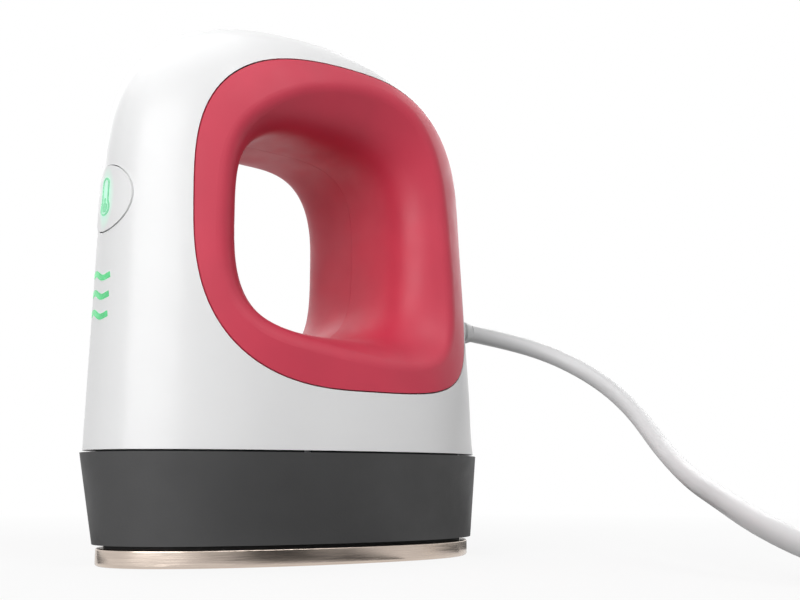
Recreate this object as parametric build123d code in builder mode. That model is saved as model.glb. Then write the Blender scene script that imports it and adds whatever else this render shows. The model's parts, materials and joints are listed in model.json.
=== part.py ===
from build123d import *
import math
import os

os.makedirs("parts", exist_ok=True)

# A mini handheld heat press: a heated plate hung under a skirt, and a hollow housing with a hand opening
# through it. +Z is up, -Y is the nose with the button, and z = 0 is the plate's working face.

# ---------------------------------------------------------------- driving dimensions, in millimetres

# Plan outlines: every level of the body is the same rounded lozenge, widest behind its middle.
widest_share = 0.65          # how far back the widest place is, as a share of the length
nose_power = 1.84            # fullness of the front flanks at the foot
nose_power_gain = 0.25       # how much fuller the front flanks are at the crown
tail_power = 2.32            # fullness of the rear flanks
outline_steps = 12           # points along each quarter of an outline
foot_sections = 4            # sections of the housing's form below its brow
crown_sections = 12          # and above it, closer and closer towards the crown
crown_cut = 0.05             # tiny flat on which the form ends

rim_length = 88.3            # skirt's top rim
rim_width = 54.3
foot_overhang = 0.75         # skirt's foot beyond the plate

plate_length = 83.0
plate_width = 49.0
plate_setback = 3.8          # from the rim's front to the plate's front
plate_thickness = 3.2
plate_edge_radius = 0.5
pad_inset = 5.0              # raised pad on the plate's back, in from the plate's edge
pad_height = 3.2

skirt_gap = 0.7              # dark gap between the plate and the skirt's foot
skirt_height = 16.6
skirt_wall = 2.0
skirt_flange = 4.0           # foot flange, turned inwards
skirt_flange_thickness = 1.2
deck_level = 13.0            # underside of the skirt's deck
deck_thickness = 2.0
shelf_thickness = 2.0        # shelf inside the rim that carries the locating lip
lip_height = 3.0
lip_thickness = 1.2
lip_gap = 0.3                # between the lip and the housing's wall
spacer_outer_inset = 1.5     # spacer ring under the skirt's foot, in from the plate's edge
spacer_gap = 0.3             # between the spacer ring and the plate's pad

housing_inset = 0.5          # housing's foot, in from the rim
seam_gap = 0.4               # shadow gap between the rim and the housing
housing_wall = 2.2
crown_height = 107.8
crown_y = -10.3              # where the housing is highest
side_lean = 5.0              # how far each side leans in from foot to crown
front_lean = 2.2
back_lean = 4.0
brow_start = 62.0            # height at which the front begins to round over
brow_power = 4.05
rear_start = 75.6
rear_power = 2.56
shoulder_start = 85.0
shoulder_power = 3.0

window_front = -32.2         # opening in each side of the housing that the grip fills
window_back = 34.5
window_low = 32.1
window_high = 98.5
window_centre_y = 1.0
window_centre_z = 67.0
front_high_power = 3.1       # squareness of the window's four corners
front_low_power = 2.8
back_low_power = 3.8
back_high_power = 2.4
throat_front = -21.5         # narrowest part of the hand opening, on the parting line
throat_back = 17.1
throat_low = 43.5
throat_high = 84.1
throat_centre_y = -6.9
throat_centre_z = 64.0
throat_power = 3.55
band = 4.3                   # flush band of the grip round its rim
mouth_margin_front = -0.1    # how far beyond the body's side each wall's flare is measured to
mouth_margin_back = 2.3
mouth_margin_high = -1.9
mouth_margin_low = -0.6
flare_power = 6.3            # how late each wall of the throat opens out towards its mouth
flare_share = 0.61           # how much of the way to the flush band it has opened there
throat_reach = 30.0          # beyond the body's widest side
throat_steps = 15            # sections of the throat from the parting line to its reach
grip_round = 3.5             # rounding between the flush band and the throat
grip_wall = 2.0
grip_gap = 0.25              # between grip and housing
grip_flange_line = 8.0       # the hidden flange stops this far from the parting line
parting_gap = 0.06
dowel_radius = 1.5
dowel_length = 11.0
dowel_boss = 1.6             # wall round each dowel
dowel_setback = 2.6          # each dowel lies this far beyond the throat's corner, both ways
fit = 0.05                   # clearance of screws, pins and dowels in their holes

button_z = 67.6
button_radius = 6.35
button_gap = 0.2
button_proud = 0.2
button_flange = 1.4          # flange that keeps the cap behind the wall
button_flange_thickness = 1.0
flange_clearance = 0.3
button_travel = 0.8
nose_reach = 12.0            # half height of the slices of the nose that shape the cap
icon_height = 7.4
icon_shift = 0.3             # middle of the icon above the middle of the button
icon_tube = 2.4
icon_bulb = 3.3
icon_stroke = 0.36
icon_mercury = 0.6
icon_raise = 0.12

wave_levels = [52.8, 49.2, 45.5]
wave_left = -4.0             # ends of the wavy lines, and the trough between them
wave_right = 2.75
wave_trough = 0.6
wave_length = 6.0
wave_swing = 0.4
wave_fall = 0.1              # how much they fall towards the right, for each millimetre
wave_stroke = 1.05
wave_raise = 0.08
wave_steps = 20              # spans along a wavy line
lights_reach = 8.0           # half height of the slices of the nose that shape the lights
guide_gap = 0.15             # between the light guide and the housing's wall
guide_half = 4.5
guide_margin_low = 1.3       # how far the guide reaches below and above the lights
guide_margin_high = 1.6
guide_leg = 1.2

board_thickness = 1.6
display_board_setback = 9.85  # from the housing's front to the board's face
display_board_half = 7.8
display_board_low = 40.0
display_board_high = 77.0
switch_size = 6.0
switch_height = 3.5
plunger_radius = 1.6
plunger_dip = 1.0            # how far the plunger reaches into the switch at rest
plunger_gap = 0.15
switch_bore_depth = 2.1
glow_led_level = 59.0        # the one that lights the button
led_width = 3.0
led_height = 1.4
led_depth = 1.6
display_screw_levels = [42.0, 75.0]

chassis_thickness = 1.6
chassis_gap = 0.3            # between the chassis and the skirt's shelf
bracket_half = 6.2
bracket_thickness = 2.2
bracket_gap = 1.6            # between the display board and the bracket
bracket_top = 76.5
ribbon_slot_half = 5.0
ribbon_slot_height = 4.0
saddle_half = 7.4
saddle_setback = 18.65       # from the housing's back to the saddle's front
saddle_depth = 5.0
cord_clamp_height = 3.1
clamp_bolt_x = 5.0
post_radius = 3.0
post_height = 5.4
board_half_width = 15.5
board_length = 44.0
board_shift = -2.15          # the board's middle from the plate's middle
post_inset = 3.0

collar_radius = 3.2
collar_spots = [(-7.0, -9.15), (7.0, -9.15), (-6.0, 20.85), (6.0, 20.85)]   # from the plate's middle
screw_radius = 1.45
screw_head_radius = 2.5
screw_head_height = 2.0
plate_screw_end = 4.2        # how near the working face the plate's screws end
housing_screw_length = 12.0
small_screw_radius = 1.0
small_head_radius = 1.9
small_head_height = 1.3
small_screw_length = 4.8
slot_depth = 0.6
boss_radius = 2.9            # housing bosses, where they pass down inside the skirt
boss_root_radius = 4.2       # and where they join the housing's wall
boss_root_level = 24.2
boss_front_y = -10.0
boss_rear_setback = 13.65    # from the housing's back to the rear bosses
boss_wall_reach = 3.2        # from the housing's inner wall to each boss's middle
boss_top = 29.0
boss_relief = 0.4            # clearance round the bosses

element_radius = 2.1
element_half = [(9.0, -26.15), (17.0, 10.85), (12.0, 31.35)]   # right half, from the plate's middle
element_bend = 8.0
clamp_plate_thickness = 1.0
clamp_inset = 7.0            # outline of the clamp plate, in from the plate's edge
clamp_opening_inset = 11.5   # and of its middle opening
clamp_screw_spots = [(-3.5, -31.45), (3.5, -31.45), (-4.0, 31.85), (4.0, 31.85)]
mica_thickness = 0.3
shield_thickness = 0.5
shield_inset = 6.0
shield_rim = 1.0
lead_radius = 0.9
lead_bend = 2.0
lead_hole = 0.5              # room round each lead where it passes a plate
lead_run = 2.4               # from the element's end to where its lead rises
mains_run = 2.5              # from the jacket's end to where the mains leads drop
mains_levels = [28.5, 26.0]
mains_spread = 1.9           # each lead's end from the terminal block's middle
thin_lead_radius = 0.5
thin_lead_bend = 1.5
thermistor_size = (5.0, 9.0, 3.0)
thermistor_shift = 2.85      # from the plate's middle
thermistor_lead_x = 1.5
fuse_link_radius = 1.5       # thermal fuse on the plate
fuse_link_length = 12.0
fuse_link_shift = -13.15
thin_lead_run = 3.0          # from the sensor or fuse to where its lead rises

transformer_size = (14.0, 16.0, 15.0)
transformer_chamfer = 0.8
transformer_shift = -7.15
relay_size = (12.0, 16.0, 14.0)
relay_round = 0.5
relay_shift = 10.85
capacitor_radius = 3.25
capacitor_height = 7.5
capacitor_round = 0.5
capacitor_spot = (11.5, -15.15)
board_fuse_radius = 2.5
board_fuse_length = 15.0
board_fuse_spot = (-11.5, -11.15)
terminal_size = (8.0, 14.0, 7.5)
terminal_spot = (11.5, 4.85)
ribbon_width = 8.0
ribbon_thickness = 0.6
ribbon_bend = 2.0
ribbon_level = 28.5
ribbon_landing = 0.5         # from the power board's front edge to the ribbon's end

cord_radius = 2.0
cord_height = 50.4           # where the cord leaves the housing
boot_tail_length = 5.2       # inside the flange
boot_tail_radius = 3.0
boot_flange_setback = 6.45   # from the housing's back
boot_flange_radius = 5.5
boot_flange_gap = 0.15
boot_neck_radius = 3.7
boot_neck_gap = 0.1
boot_root_radius = 4.4
boot_root_gap = 0.05
boot_tip_radius = 2.6
boot_straight = 0.12         # before it begins to flex
boot_bend = 27.06            # radius of its flexed line
boot_turn = 22.0             # how far it flexes sideways, in degrees
boot_steps = 6
jacket_stub = 0.6            # how far the jacket reaches in beyond the saddle
bend_share = 0.45            # share of a run that the cord's bend at either end takes up

coil_centre = (132.0, 50.5)
coil_turn_radius = 32.5      # outermost turn
coil_turns = 8               # whole turns, before the part turn to the tail
coil_layers = 2              # the tail crosses over the turns
coil_margin = 0.1            # the coil's outer shape stands this far clear of its turns
tie_thickness = 0.8
tie_width = 8.0
tie_angle = 215.0            # where the tie goes round the coil, in degrees from +X
tail_angle = 75.0            # where the cord leaves the coil for the plug
tail_length = 22.0
plug_width = 25.0
plug_body_length = 20.0
plug_round = 3.0
plug_neck_length = 8.0
plug_neck_radius = 5.5
blade_spacing = 12.7
blade_width = 6.35
blade_thickness = 1.5
blade_length = 16.0

# The cord's route from the boot to the coil, chosen by hand, in millimetres.
cord_route = [
    (1.97, 52.55, 50.4),
    (6.0, 63.2, 48.8),
    (14.1, 70.6, 45.0),
    (24.7, 73.6, 38.6),
    (35.6, 71.2, 31.0),
    (50.0, 61.2, 21.4),
    (64.0, 49.6, 15.6),
    (77.6, 37.4, 12.4),
    (91.0, 27.2, 8.4),
    (105.0, 20.6, 4.6),
    (119.0, 18.2, 3.0),
    (132.0, 18.0, 2.9),
]

# ---------------------------------------------------------------- values that follow from them

rim_front = -rim_length / 2
rim_back = rim_length / 2
plate_front = rim_front + plate_setback
plate_back = plate_front + plate_length
skirt_bottom = plate_thickness + skirt_gap
skirt_top = skirt_bottom + skirt_height
housing_base = skirt_top + seam_gap
housing_front = rim_front + housing_inset
housing_back = rim_back - housing_inset
housing_half = rim_width / 2 - housing_inset
lip_inset = housing_inset + housing_wall + lip_gap
shelf_inset = lip_inset + lip_thickness
chassis_inset = shelf_inset + chassis_gap
pad_top = plate_thickness + pad_height
deck_top = deck_level + deck_thickness
chassis_top = deck_top + chassis_thickness
power_board_level = chassis_top + post_height
power_board_top = power_board_level + board_thickness
clamp_level = pad_top + element_radius
mica_level = clamp_level + clamp_plate_thickness
shield_level = mica_level + mica_thickness
plate_middle = (plate_front + plate_back) / 2
board_front = plate_middle + board_shift - board_length / 2
board_back = board_front + board_length
display_board_face = housing_front + display_board_setback
display_board_back = display_board_face + board_thickness
bracket_y = display_board_back + bracket_gap
led_levels = [*wave_levels, glow_led_level]
saddle_front = housing_back - saddle_setback
saddle_middle = saddle_front + saddle_depth / 2
saddle_back = saddle_front + saddle_depth
clamp_bolts = [(-clamp_bolt_x, saddle_middle), (clamp_bolt_x, saddle_middle)]
jacket_end = saddle_front - jacket_stub
mains_drop_y = jacket_end - mains_run
boot_flange_y = housing_back - boot_flange_setback
boot_tail = boot_flange_y - boot_tail_length
cap_back = housing_wall + flange_clearance + button_flange_thickness
lights_centre = wave_levels[1]
coil_part_turns = coil_turns + (tail_angle + 90) / 360
coil_bottom = tie_thickness
coil_height = 2 * (coil_layers * cord_radius + coil_margin)
lead_level = coil_bottom + coil_height - coil_margin - cord_radius



def on_plate(spots):
    """Places given from the plate's middle, in the row's own frame."""
    return [(x, y + plate_middle) for x, y in spots]


collar_places = on_plate(collar_spots)
clamp_screw_places = on_plate(clamp_screw_spots)
element_points = on_plate([(-x, y) for x, y in element_half[::-1]] + element_half)
thermistor_y = plate_middle + thermistor_shift
fuse_link_y = plate_middle + fuse_link_shift
post_x = board_half_width - post_inset
post_places = [(x, y) for y in (board_front + post_inset, board_back - post_inset) for x in (-post_x, post_x)]

# ---------------------------------------------------------------- outlines and forms

def plan_points(half_width, front, back, fullness):
    """Closed rounded lozenge: from the tail round the right side to the nose and back on the left."""
    widest = front + widest_share * (back - front)
    right = []
    for step in range(outline_steps + 1):
        reach = math.cos(math.pi / 2 * step / outline_steps)
        x = half_width * math.sqrt(max(0.0, 1 - reach ** tail_power))
        right.append((x, widest + (back - widest) * reach))
    for step in range(1, outline_steps + 1):
        reach = math.sin(math.pi / 2 * step / outline_steps)
        x = half_width * math.sqrt(max(0.0, 1 - reach ** fullness))
        right.append((x, widest - (widest - front) * reach))
    left = [(-x, y) for x, y in right[-2:0:-1]]
    return right + left


def plate_outline(inset):
    """The plate's outline drawn in by inset."""
    return plan_points(plate_width / 2 - inset, plate_front + inset, plate_back - inset, nose_power)


def rim_outline(inset):
    """The skirt's rim outline drawn in by inset."""
    return plan_points(rim_width / 2 - inset, rim_front + inset, rim_back - inset, nose_power)


def slab(points, plane, thickness):
    """Flat plate with a smooth closed outline through points, standing on a plane."""
    with BuildPart() as plate:
        with BuildSketch(plane):
            with BuildLine():
                Spline(*points, periodic=True)
            make_face()
        extrude(amount=thickness)
    return plate.part


def stacked_form(outlines, planes):
    """Smooth solid through a stack of closed outlines, one on each plane."""
    with BuildPart() as form:
        for points, plane in zip(outlines, planes):
            with BuildSketch(plane):
                with BuildLine():
                    Spline(*points, periodic=True)
                make_face()
        loft()
    return form.part


def rounding(z, start, power, crown):
    """1 below start, then falling to nothing at the crown."""
    if z <= start:
        return 1.0
    return math.sqrt(max(0.0, 1 - ((z - start) / (crown - start)) ** power))


def housing_outline(z, inset):
    """The housing's outline at height z, drawn in by inset all round."""
    rise = (z - housing_base) / (crown_height - housing_base)
    crown = crown_height - inset
    half = housing_half - side_lean * rise - inset
    front = housing_front + front_lean * rise + inset
    back = housing_back - back_lean * rise - inset
    half = half * rounding(z, shoulder_start, shoulder_power, crown)
    front = crown_y + (front - crown_y) * rounding(z, brow_start, brow_power, crown)
    back = crown_y + (back - crown_y) * rounding(z, rear_start, rear_power, crown)
    return plan_points(half, front, back, nose_power + nose_power_gain * rise)


def half_width(y, z, inset):
    """How far the housing's side is from its middle plane at a place, drawn in by inset."""
    points = housing_outline(z, inset)
    right = [point for point in points[:2 * outline_steps + 1]]
    for (x_back, y_back), (x_front, y_front) in zip(right, right[1:]):
        if y_front <= y <= y_back:
            return x_back + (x_front - x_back) * (y_back - y) / (y_back - y_front)
    return 0.0


def form_heights(base, inset):
    """Heights of the form's sections: even below the brow, closing up towards the crown."""
    crown = crown_height - inset
    heights = [base + (brow_start - base) * step / foot_sections for step in range(foot_sections)]
    for step in range(crown_sections, 0, -1):
        heights.append(crown - (crown - brow_start) * (step / crown_sections) ** 2)
    heights.append(crown - crown_cut)
    return heights


def housing_form(base, inset):
    """Solid form of the housing from base to the crown, drawn in by inset."""
    heights = form_heights(base, inset)
    outlines = [housing_outline(z, inset) for z in heights]
    return stacked_form(outlines, [Plane.XY.offset(z) for z in heights])


def nose_form(centre, reach, inset):
    """The same form from reach below a height to reach above it, as a plain block."""
    heights = [centre + reach * step for step in (-1, -0.5, 0, 0.5, 1)]
    outlines = [housing_outline(z, inset) for z in heights]
    return stacked_form(outlines, [Plane.XY.offset(z) for z in heights])


def skirt_outline(z, inset):
    """The skirt's outline at height z, drawn in by inset."""
    share = (z - skirt_bottom) / skirt_height
    foot_half = plate_width / 2 + foot_overhang
    foot_front = plate_front - foot_overhang
    foot_back = plate_back + foot_overhang
    half = foot_half + (rim_width / 2 - foot_half) * share - inset
    front = foot_front + (rim_front - foot_front) * share + inset
    back = foot_back + (rim_back - foot_back) * share - inset
    return plan_points(half, front, back, nose_power)


def skirt_form(low, high, inset):
    """Block with the skirt's outline between two heights, drawn in by inset."""
    return stacked_form([skirt_outline(z, inset) for z in (low, high)],
                        [Plane.XY.offset(z) for z in (low, high)])


def opening_points(centre, front, back, low, high, powers):
    """Closed rounded four-sided outline in the YZ plane, one squareness for each corner."""
    front_high, front_low, back_low, back_high = powers
    points = []
    for step in range(4 * outline_steps):
        angle = 2 * math.pi * step / (4 * outline_steps)
        across = math.cos(angle)
        along = math.sin(angle)
        power = back_high if along >= 0 else back_low
        if across < 0:
            power = front_high if along >= 0 else front_low
        y_reach = back - centre[0] if across >= 0 else centre[0] - front
        z_reach = high - centre[1] if along >= 0 else centre[1] - low
        y = centre[0] + math.copysign(abs(across) ** (2 / power), across) * y_reach
        z = centre[1] + math.copysign(abs(along) ** (2 / power), along) * z_reach
        points.append((y, z))
    return points


mouth_half_front = half_width(window_front + band, window_centre_z, 0.0) + mouth_margin_front
mouth_half_back = half_width(window_back - band, window_centre_z, 0.0) + mouth_margin_back
mouth_half_high = half_width(window_centre_y, window_high - band, 0.0) + mouth_margin_high
mouth_half_low = half_width(window_centre_y, window_low + band, 0.0) + mouth_margin_low
boss_places = []
for boss_y in (boss_front_y, housing_back - boss_rear_setback):
    boss_x = half_width(boss_y, boss_top, housing_wall) - boss_wall_reach
    boss_places += [(-boss_x, boss_y), (boss_x, boss_y)]
throat_corner = 0.5 ** (1 / throat_power)
dowel_places = []
for throat_y in (throat_front, throat_back):
    for throat_z in (throat_low, throat_high):
        corner_y = (throat_y - throat_centre_y) * throat_corner
        corner_z = (throat_z - throat_centre_z) * throat_corner
        dowel_places.append((throat_centre_y + corner_y + math.copysign(dowel_setback, corner_y),
                             throat_centre_z + corner_z + math.copysign(dowel_setback, corner_z)))
window_powers = (front_high_power, front_low_power, back_low_power, back_high_power)
throat_powers = (throat_power, throat_power, throat_power, throat_power)


def window_outline(inset):
    """The side window's outline drawn in by inset."""
    centre = (window_centre_y, window_centre_z)
    front = window_front + inset
    back = window_back - inset
    return opening_points(centre, front, back, window_low + inset, window_high - inset, window_powers)


def throat_outline(x, offset):
    """The hand opening's outline at distance x from the parting line, grown by offset.

    Each wall stays nearly straight, curls outwards as it nears its mouth and runs straight on from there.
    """
    def side(throat, rim, mouth_half):
        reach = x / mouth_half
        flare = reach ** flare_power if reach < 1 else 1 + flare_power * (reach - 1)
        return throat + (rim - throat) * flare_share * flare

    front = side(throat_front, window_front + band, mouth_half_front) - offset
    back = side(throat_back, window_back - band, mouth_half_back) + offset
    low = side(throat_low, window_low + band, mouth_half_low) - offset
    high = side(throat_high, window_high - band, mouth_half_high) + offset
    share = min(1.0, x / mouth_half_back)
    powers = [t + (w - t) * share for t, w in zip(throat_powers, window_powers)]
    centre_y = throat_centre_y + (window_centre_y - throat_centre_y) * share
    centre_z = throat_centre_z + (window_centre_z - throat_centre_z) * share
    return opening_points((centre_y, centre_z), front, back, low, high, powers)


def throat_form(offset):
    """Solid that fills the hand opening on the right side, from the parting line outwards."""
    distances = [throat_reach * step / throat_steps for step in range(throat_steps + 1)]
    outlines = [throat_outline(x, offset) for x in distances]
    return stacked_form(outlines, [Plane.YZ.offset(x) for x in distances])


def window_prism(inset, x_from, x_to):
    """Block with the window's outline between two distances from the parting line."""
    return slab(window_outline(inset), Plane.YZ.offset(x_from), x_to - x_from)


def ring(outer, inner, level, thickness):
    """Flat ring between two closed outlines."""
    with BuildPart() as flat:
        add(slab(outer, Plane.XY.offset(level), thickness))
        add(slab(inner, Plane.XY.offset(level), thickness), mode=Mode.SUBTRACT)
    return flat.part


def bars(radius, places, plane, amount):
    """Equal round bars standing on a plane at the given places."""
    with BuildPart() as group:
        with BuildSketch(plane):
            with Locations(*places):
                Circle(radius)
        extrude(amount=amount)
    return group.part


def block(width, depth, height, place, level):
    """Upright block standing at a level, centred on a place."""
    with BuildPart() as body:
        with BuildSketch(Plane.XY.offset(level)):
            with Locations(place):
                Rectangle(width, depth)
        extrude(amount=height)
    return body.part


def front_plane(y):
    """Upright plane that faces the nose, at depth y."""
    return Plane.XZ.offset(-y)


def front_block(width, height, z, y_back, y_front):
    """Block between two depths, centred on height z."""
    with BuildPart() as body:
        with BuildSketch(front_plane(y_back)):
            with Locations((0, z)):
                Rectangle(width, height)
        extrude(amount=y_back - y_front)
    return body.part


def wire(points, radius, bend):
    """Round wire along straight runs joined by arcs."""
    with BuildPart() as lead:
        with BuildLine() as path:
            FilletPolyline(*points, radius=bend)
        with BuildSketch(Plane(origin=path.line @ 0, z_dir=path.line % 0)):
            Circle(radius)
        sweep()
    return lead.part


def screws(places, plane, shank_radius, shank_length, head_radius, head_height):
    """Cross-head screws: heads stand on the plane, shanks go through it."""
    with BuildPart() as group:
        with BuildSketch(plane):
            with Locations(*places):
                Circle(head_radius)
        extrude(amount=head_height)
        chamfer(group.faces().sort_by(Axis((0, 0, 0), plane.z_dir))[-len(places):].edges(), head_height / 4)
        with BuildSketch(plane.offset(head_height)):
            with Locations(*places):
                Rectangle(head_radius, head_radius / 4)
                Rectangle(head_radius / 4, head_radius)
        extrude(amount=-slot_depth, mode=Mode.SUBTRACT)
        with BuildSketch(plane):
            with Locations(*places):
                Circle(shank_radius)
        extrude(amount=-shank_length)
    return group.part


# ---------------------------------------------------------------- heat plate and what sits on it

pad_plane = Plane.XY.offset(pad_top)
element_path = [(x, y, pad_top) for x, y in element_points]
element_end = Vector(*element_path[-1])
element_way = (element_end - Vector(*element_path[-2])).normalized()
heater_rise = element_end + element_way * lead_run
heater_rises = [(-heater_rise.X, heater_rise.Y), (heater_rise.X, heater_rise.Y)]
board_middle = power_board_level + board_thickness / 2


def heater_wires(radius):
    """Leads from the element's ends up to the power board's rear edge."""
    with BuildPart() as pair:
        for side in (-1, 1):
            add(wire([(side * element_end.X, element_end.Y, pad_top),
                      (side * heater_rise.X, heater_rise.Y, pad_top),
                      (side * heater_rise.X, heater_rise.Y, board_middle),
                      (side * heater_rise.X, board_back, board_middle)], radius, lead_bend))
    return pair.part


with BuildPart() as heat_plate:
    add(slab(plate_outline(0.0), Plane.XY, plate_thickness))
    fillet(heat_plate.edges().group_by(Axis.Z)[0], plate_edge_radius)
    fillet(heat_plate.edges().group_by(Axis.Z)[-1], plate_edge_radius / 2)
    add(slab(plate_outline(pad_inset), Plane.XY.offset(plate_thickness), pad_height))
    add(wire(element_path, element_radius + fit, element_bend), mode=Mode.SUBTRACT)
    add(heater_wires(lead_radius + fit), mode=Mode.SUBTRACT)
    add(bars(screw_radius + fit, collar_places, pad_plane, plate_screw_end - fit - pad_top),
        mode=Mode.SUBTRACT)
    add(bars(small_screw_radius + fit, clamp_screw_places, pad_plane, plate_screw_end - fit - pad_top),
        mode=Mode.SUBTRACT)
heat_plate.part.label = "heat_plate"
export_step(heat_plate.part, "parts/heat_plate.step")

with BuildPart() as heating_element:
    add(wire(element_path, element_radius, element_bend))
heating_element.part.label = "heating_element"
export_step(heating_element.part, "parts/heating_element.step")

with BuildPart() as element_clamp:
    add(ring(plate_outline(clamp_inset), plate_outline(clamp_opening_inset),
             clamp_level, clamp_plate_thickness))
    add(bars(small_screw_radius + fit, clamp_screw_places, Plane.XY.offset(clamp_level),
             clamp_plate_thickness), mode=Mode.SUBTRACT)
element_clamp.part.label = "element_clamp"
export_step(element_clamp.part, "parts/element_clamp.step")

with BuildPart() as element_screws:
    add(screws(clamp_screw_places, Plane.XY.offset(mica_level), small_screw_radius,
               mica_level - plate_screw_end, small_head_radius, small_head_height))
element_screws.part.label = "element_screws"
export_step(element_screws.part, "parts/element_screws.step")

with BuildPart() as mica_sheet:
    add(ring(plate_outline(clamp_inset), plate_outline(clamp_opening_inset), mica_level, mica_thickness))
    add(bars(small_head_radius + lead_hole, clamp_screw_places, Plane.XY.offset(mica_level),
             mica_thickness), mode=Mode.SUBTRACT)
mica_sheet.part.label = "mica_sheet"
export_step(mica_sheet.part, "parts/mica_sheet.step")

with BuildPart() as heat_shield:
    add(ring(plate_outline(shield_inset), plate_outline(clamp_opening_inset), shield_level, shield_thickness))
    add(bars(small_head_radius + lead_hole, clamp_screw_places, Plane.XY.offset(shield_level),
             shield_thickness), mode=Mode.SUBTRACT)
    add(ring(plate_outline(shield_inset), plate_outline(shield_inset + shield_thickness),
             shield_level, shield_rim))
heat_shield.part.label = "heat_shield"
export_step(heat_shield.part, "parts/heat_shield.step")

with BuildPart() as thermistor:
    add(block(*thermistor_size, (0, thermistor_y), pad_top))
thermistor.part.label = "thermistor"
export_step(thermistor.part, "parts/thermistor.step")

fuse_link_level = pad_top + fuse_link_radius
with BuildPart() as thermal_fuse:
    with BuildSketch(front_plane(fuse_link_y + fuse_link_length / 2)):
        with Locations((0, fuse_link_level)):
            Circle(fuse_link_radius)
    extrude(amount=fuse_link_length)
thermal_fuse.part.label = "thermal_fuse"
export_step(thermal_fuse.part, "parts/thermal_fuse.step")

with BuildPart() as standoff_collars:
    add(bars(collar_radius, collar_places, pad_plane, deck_level - pad_top))
    add(bars(screw_radius + fit, collar_places, pad_plane, deck_level - pad_top), mode=Mode.SUBTRACT)
standoff_collars.part.label = "standoff_collars"
export_step(standoff_collars.part, "parts/standoff_collars.step")

with BuildPart() as plate_spacer:
    add(ring(plate_outline(spacer_outer_inset), plate_outline(pad_inset - spacer_gap),
             plate_thickness, skirt_gap))
plate_spacer.part.label = "plate_spacer"
export_step(plate_spacer.part, "parts/plate_spacer.step")

# ---------------------------------------------------------------- skirt and chassis

sensor_rise_y = thermistor_y + thermistor_size[1] / 2 + thin_lead_run
thin_rises = [(-thermistor_lead_x, sensor_rise_y), (thermistor_lead_x, sensor_rise_y)]
thin_rises += [(0, fuse_link_y - fuse_link_length / 2 - thin_lead_run)]
thin_rises += [(0, fuse_link_y + fuse_link_length / 2 + thin_lead_run)]


def passages(level, thickness, boss_hole):
    """What goes through the deck or the chassis: screws, bosses and leads."""
    with BuildPart() as group:
        add(bars(screw_radius + fit, collar_places, Plane.XY.offset(level), thickness))
        add(bars(boss_hole, boss_places, Plane.XY.offset(level), thickness))
        add(bars(lead_radius + lead_hole, heater_rises, Plane.XY.offset(level), thickness))
        add(bars(thin_lead_radius + lead_hole, thin_rises, Plane.XY.offset(level), thickness))
    return group.part


with BuildPart() as base_skirt:
    add(skirt_form(skirt_bottom, skirt_top, 0.0))
    add(skirt_form(skirt_bottom, deck_level, skirt_wall), mode=Mode.SUBTRACT)
    add(skirt_form(deck_top, skirt_top - shelf_thickness, skirt_wall), mode=Mode.SUBTRACT)
    add(slab(rim_outline(shelf_inset), Plane.XY.offset(deck_top), skirt_top - deck_top), mode=Mode.SUBTRACT)
    add(ring(skirt_outline(skirt_bottom, skirt_wall / 2), skirt_outline(skirt_bottom, skirt_flange),
             skirt_bottom, skirt_flange_thickness))
    add(ring(rim_outline(lip_inset), rim_outline(shelf_inset), skirt_top, lip_height))
    add(passages(deck_level, deck_thickness, screw_radius + fit), mode=Mode.SUBTRACT)
    add(bars(boss_radius + boss_relief, boss_places, Plane.XY.offset(deck_top), boss_top - deck_top),
        mode=Mode.SUBTRACT)
base_skirt.part.label = "base_skirt"
export_step(base_skirt.part, "parts/base_skirt.step")

with BuildPart() as chassis:
    add(slab(rim_outline(chassis_inset), Plane.XY.offset(deck_top), chassis_thickness))
    add(passages(deck_top, chassis_thickness, boss_radius + boss_relief), mode=Mode.SUBTRACT)
    add(bars(post_radius, post_places, Plane.XY.offset(chassis_top), post_height))
    add(bars(small_screw_radius + fit, post_places, Plane.XY.offset(power_board_level), -post_height),
        mode=Mode.SUBTRACT)
    add(front_block(2 * bracket_half, bracket_top - chassis_top, (bracket_top + chassis_top) / 2,
                    bracket_y + bracket_thickness, bracket_y))
    add(front_block(2 * ribbon_slot_half, ribbon_slot_height, ribbon_level,
                    bracket_y + bracket_thickness, bracket_y), mode=Mode.SUBTRACT)
    add(bars(post_radius, [(0, z) for z in display_screw_levels], front_plane(bracket_y),
             bracket_y - display_board_back))
    add(bars(small_screw_radius + fit, [(0, z) for z in display_screw_levels],
             front_plane(display_board_back), -small_screw_length), mode=Mode.SUBTRACT)
    add(block(2 * saddle_half, saddle_depth, cord_height - chassis_top, (0, saddle_middle), chassis_top))
    add(bars(cord_radius + fit, [(0, cord_height)], front_plane(saddle_back), saddle_depth),
        mode=Mode.SUBTRACT)
    add(bars(small_screw_radius + fit, clamp_bolts, Plane.XY.offset(cord_height), -small_screw_length),
        mode=Mode.SUBTRACT)
chassis.part.label = "chassis"
export_step(chassis.part, "parts/chassis.step")

with BuildPart() as plate_screws:
    add(screws(collar_places, Plane.XY.offset(chassis_top), screw_radius, chassis_top - plate_screw_end,
               screw_head_radius, screw_head_height))
plate_screws.part.label = "plate_screws"
export_step(plate_screws.part, "parts/plate_screws.step")

with BuildPart() as housing_screws:
    add(screws([(x, -y) for x, y in boss_places], Plane.XY.offset(deck_level).rotated((180, 0, 0)),
               screw_radius, housing_screw_length, screw_head_radius, screw_head_height))
housing_screws.part.label = "housing_screws"
export_step(housing_screws.part, "parts/housing_screws.step")

# ---------------------------------------------------------------- housing


def nose_slice(centre, reach, outer, inner):
    """Part of the nose between two insets."""
    with BuildPart() as slice_form:
        add(nose_form(centre, reach, outer))
        add(nose_form(centre, reach, inner), mode=Mode.SUBTRACT)
    return slice_form.part


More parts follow.
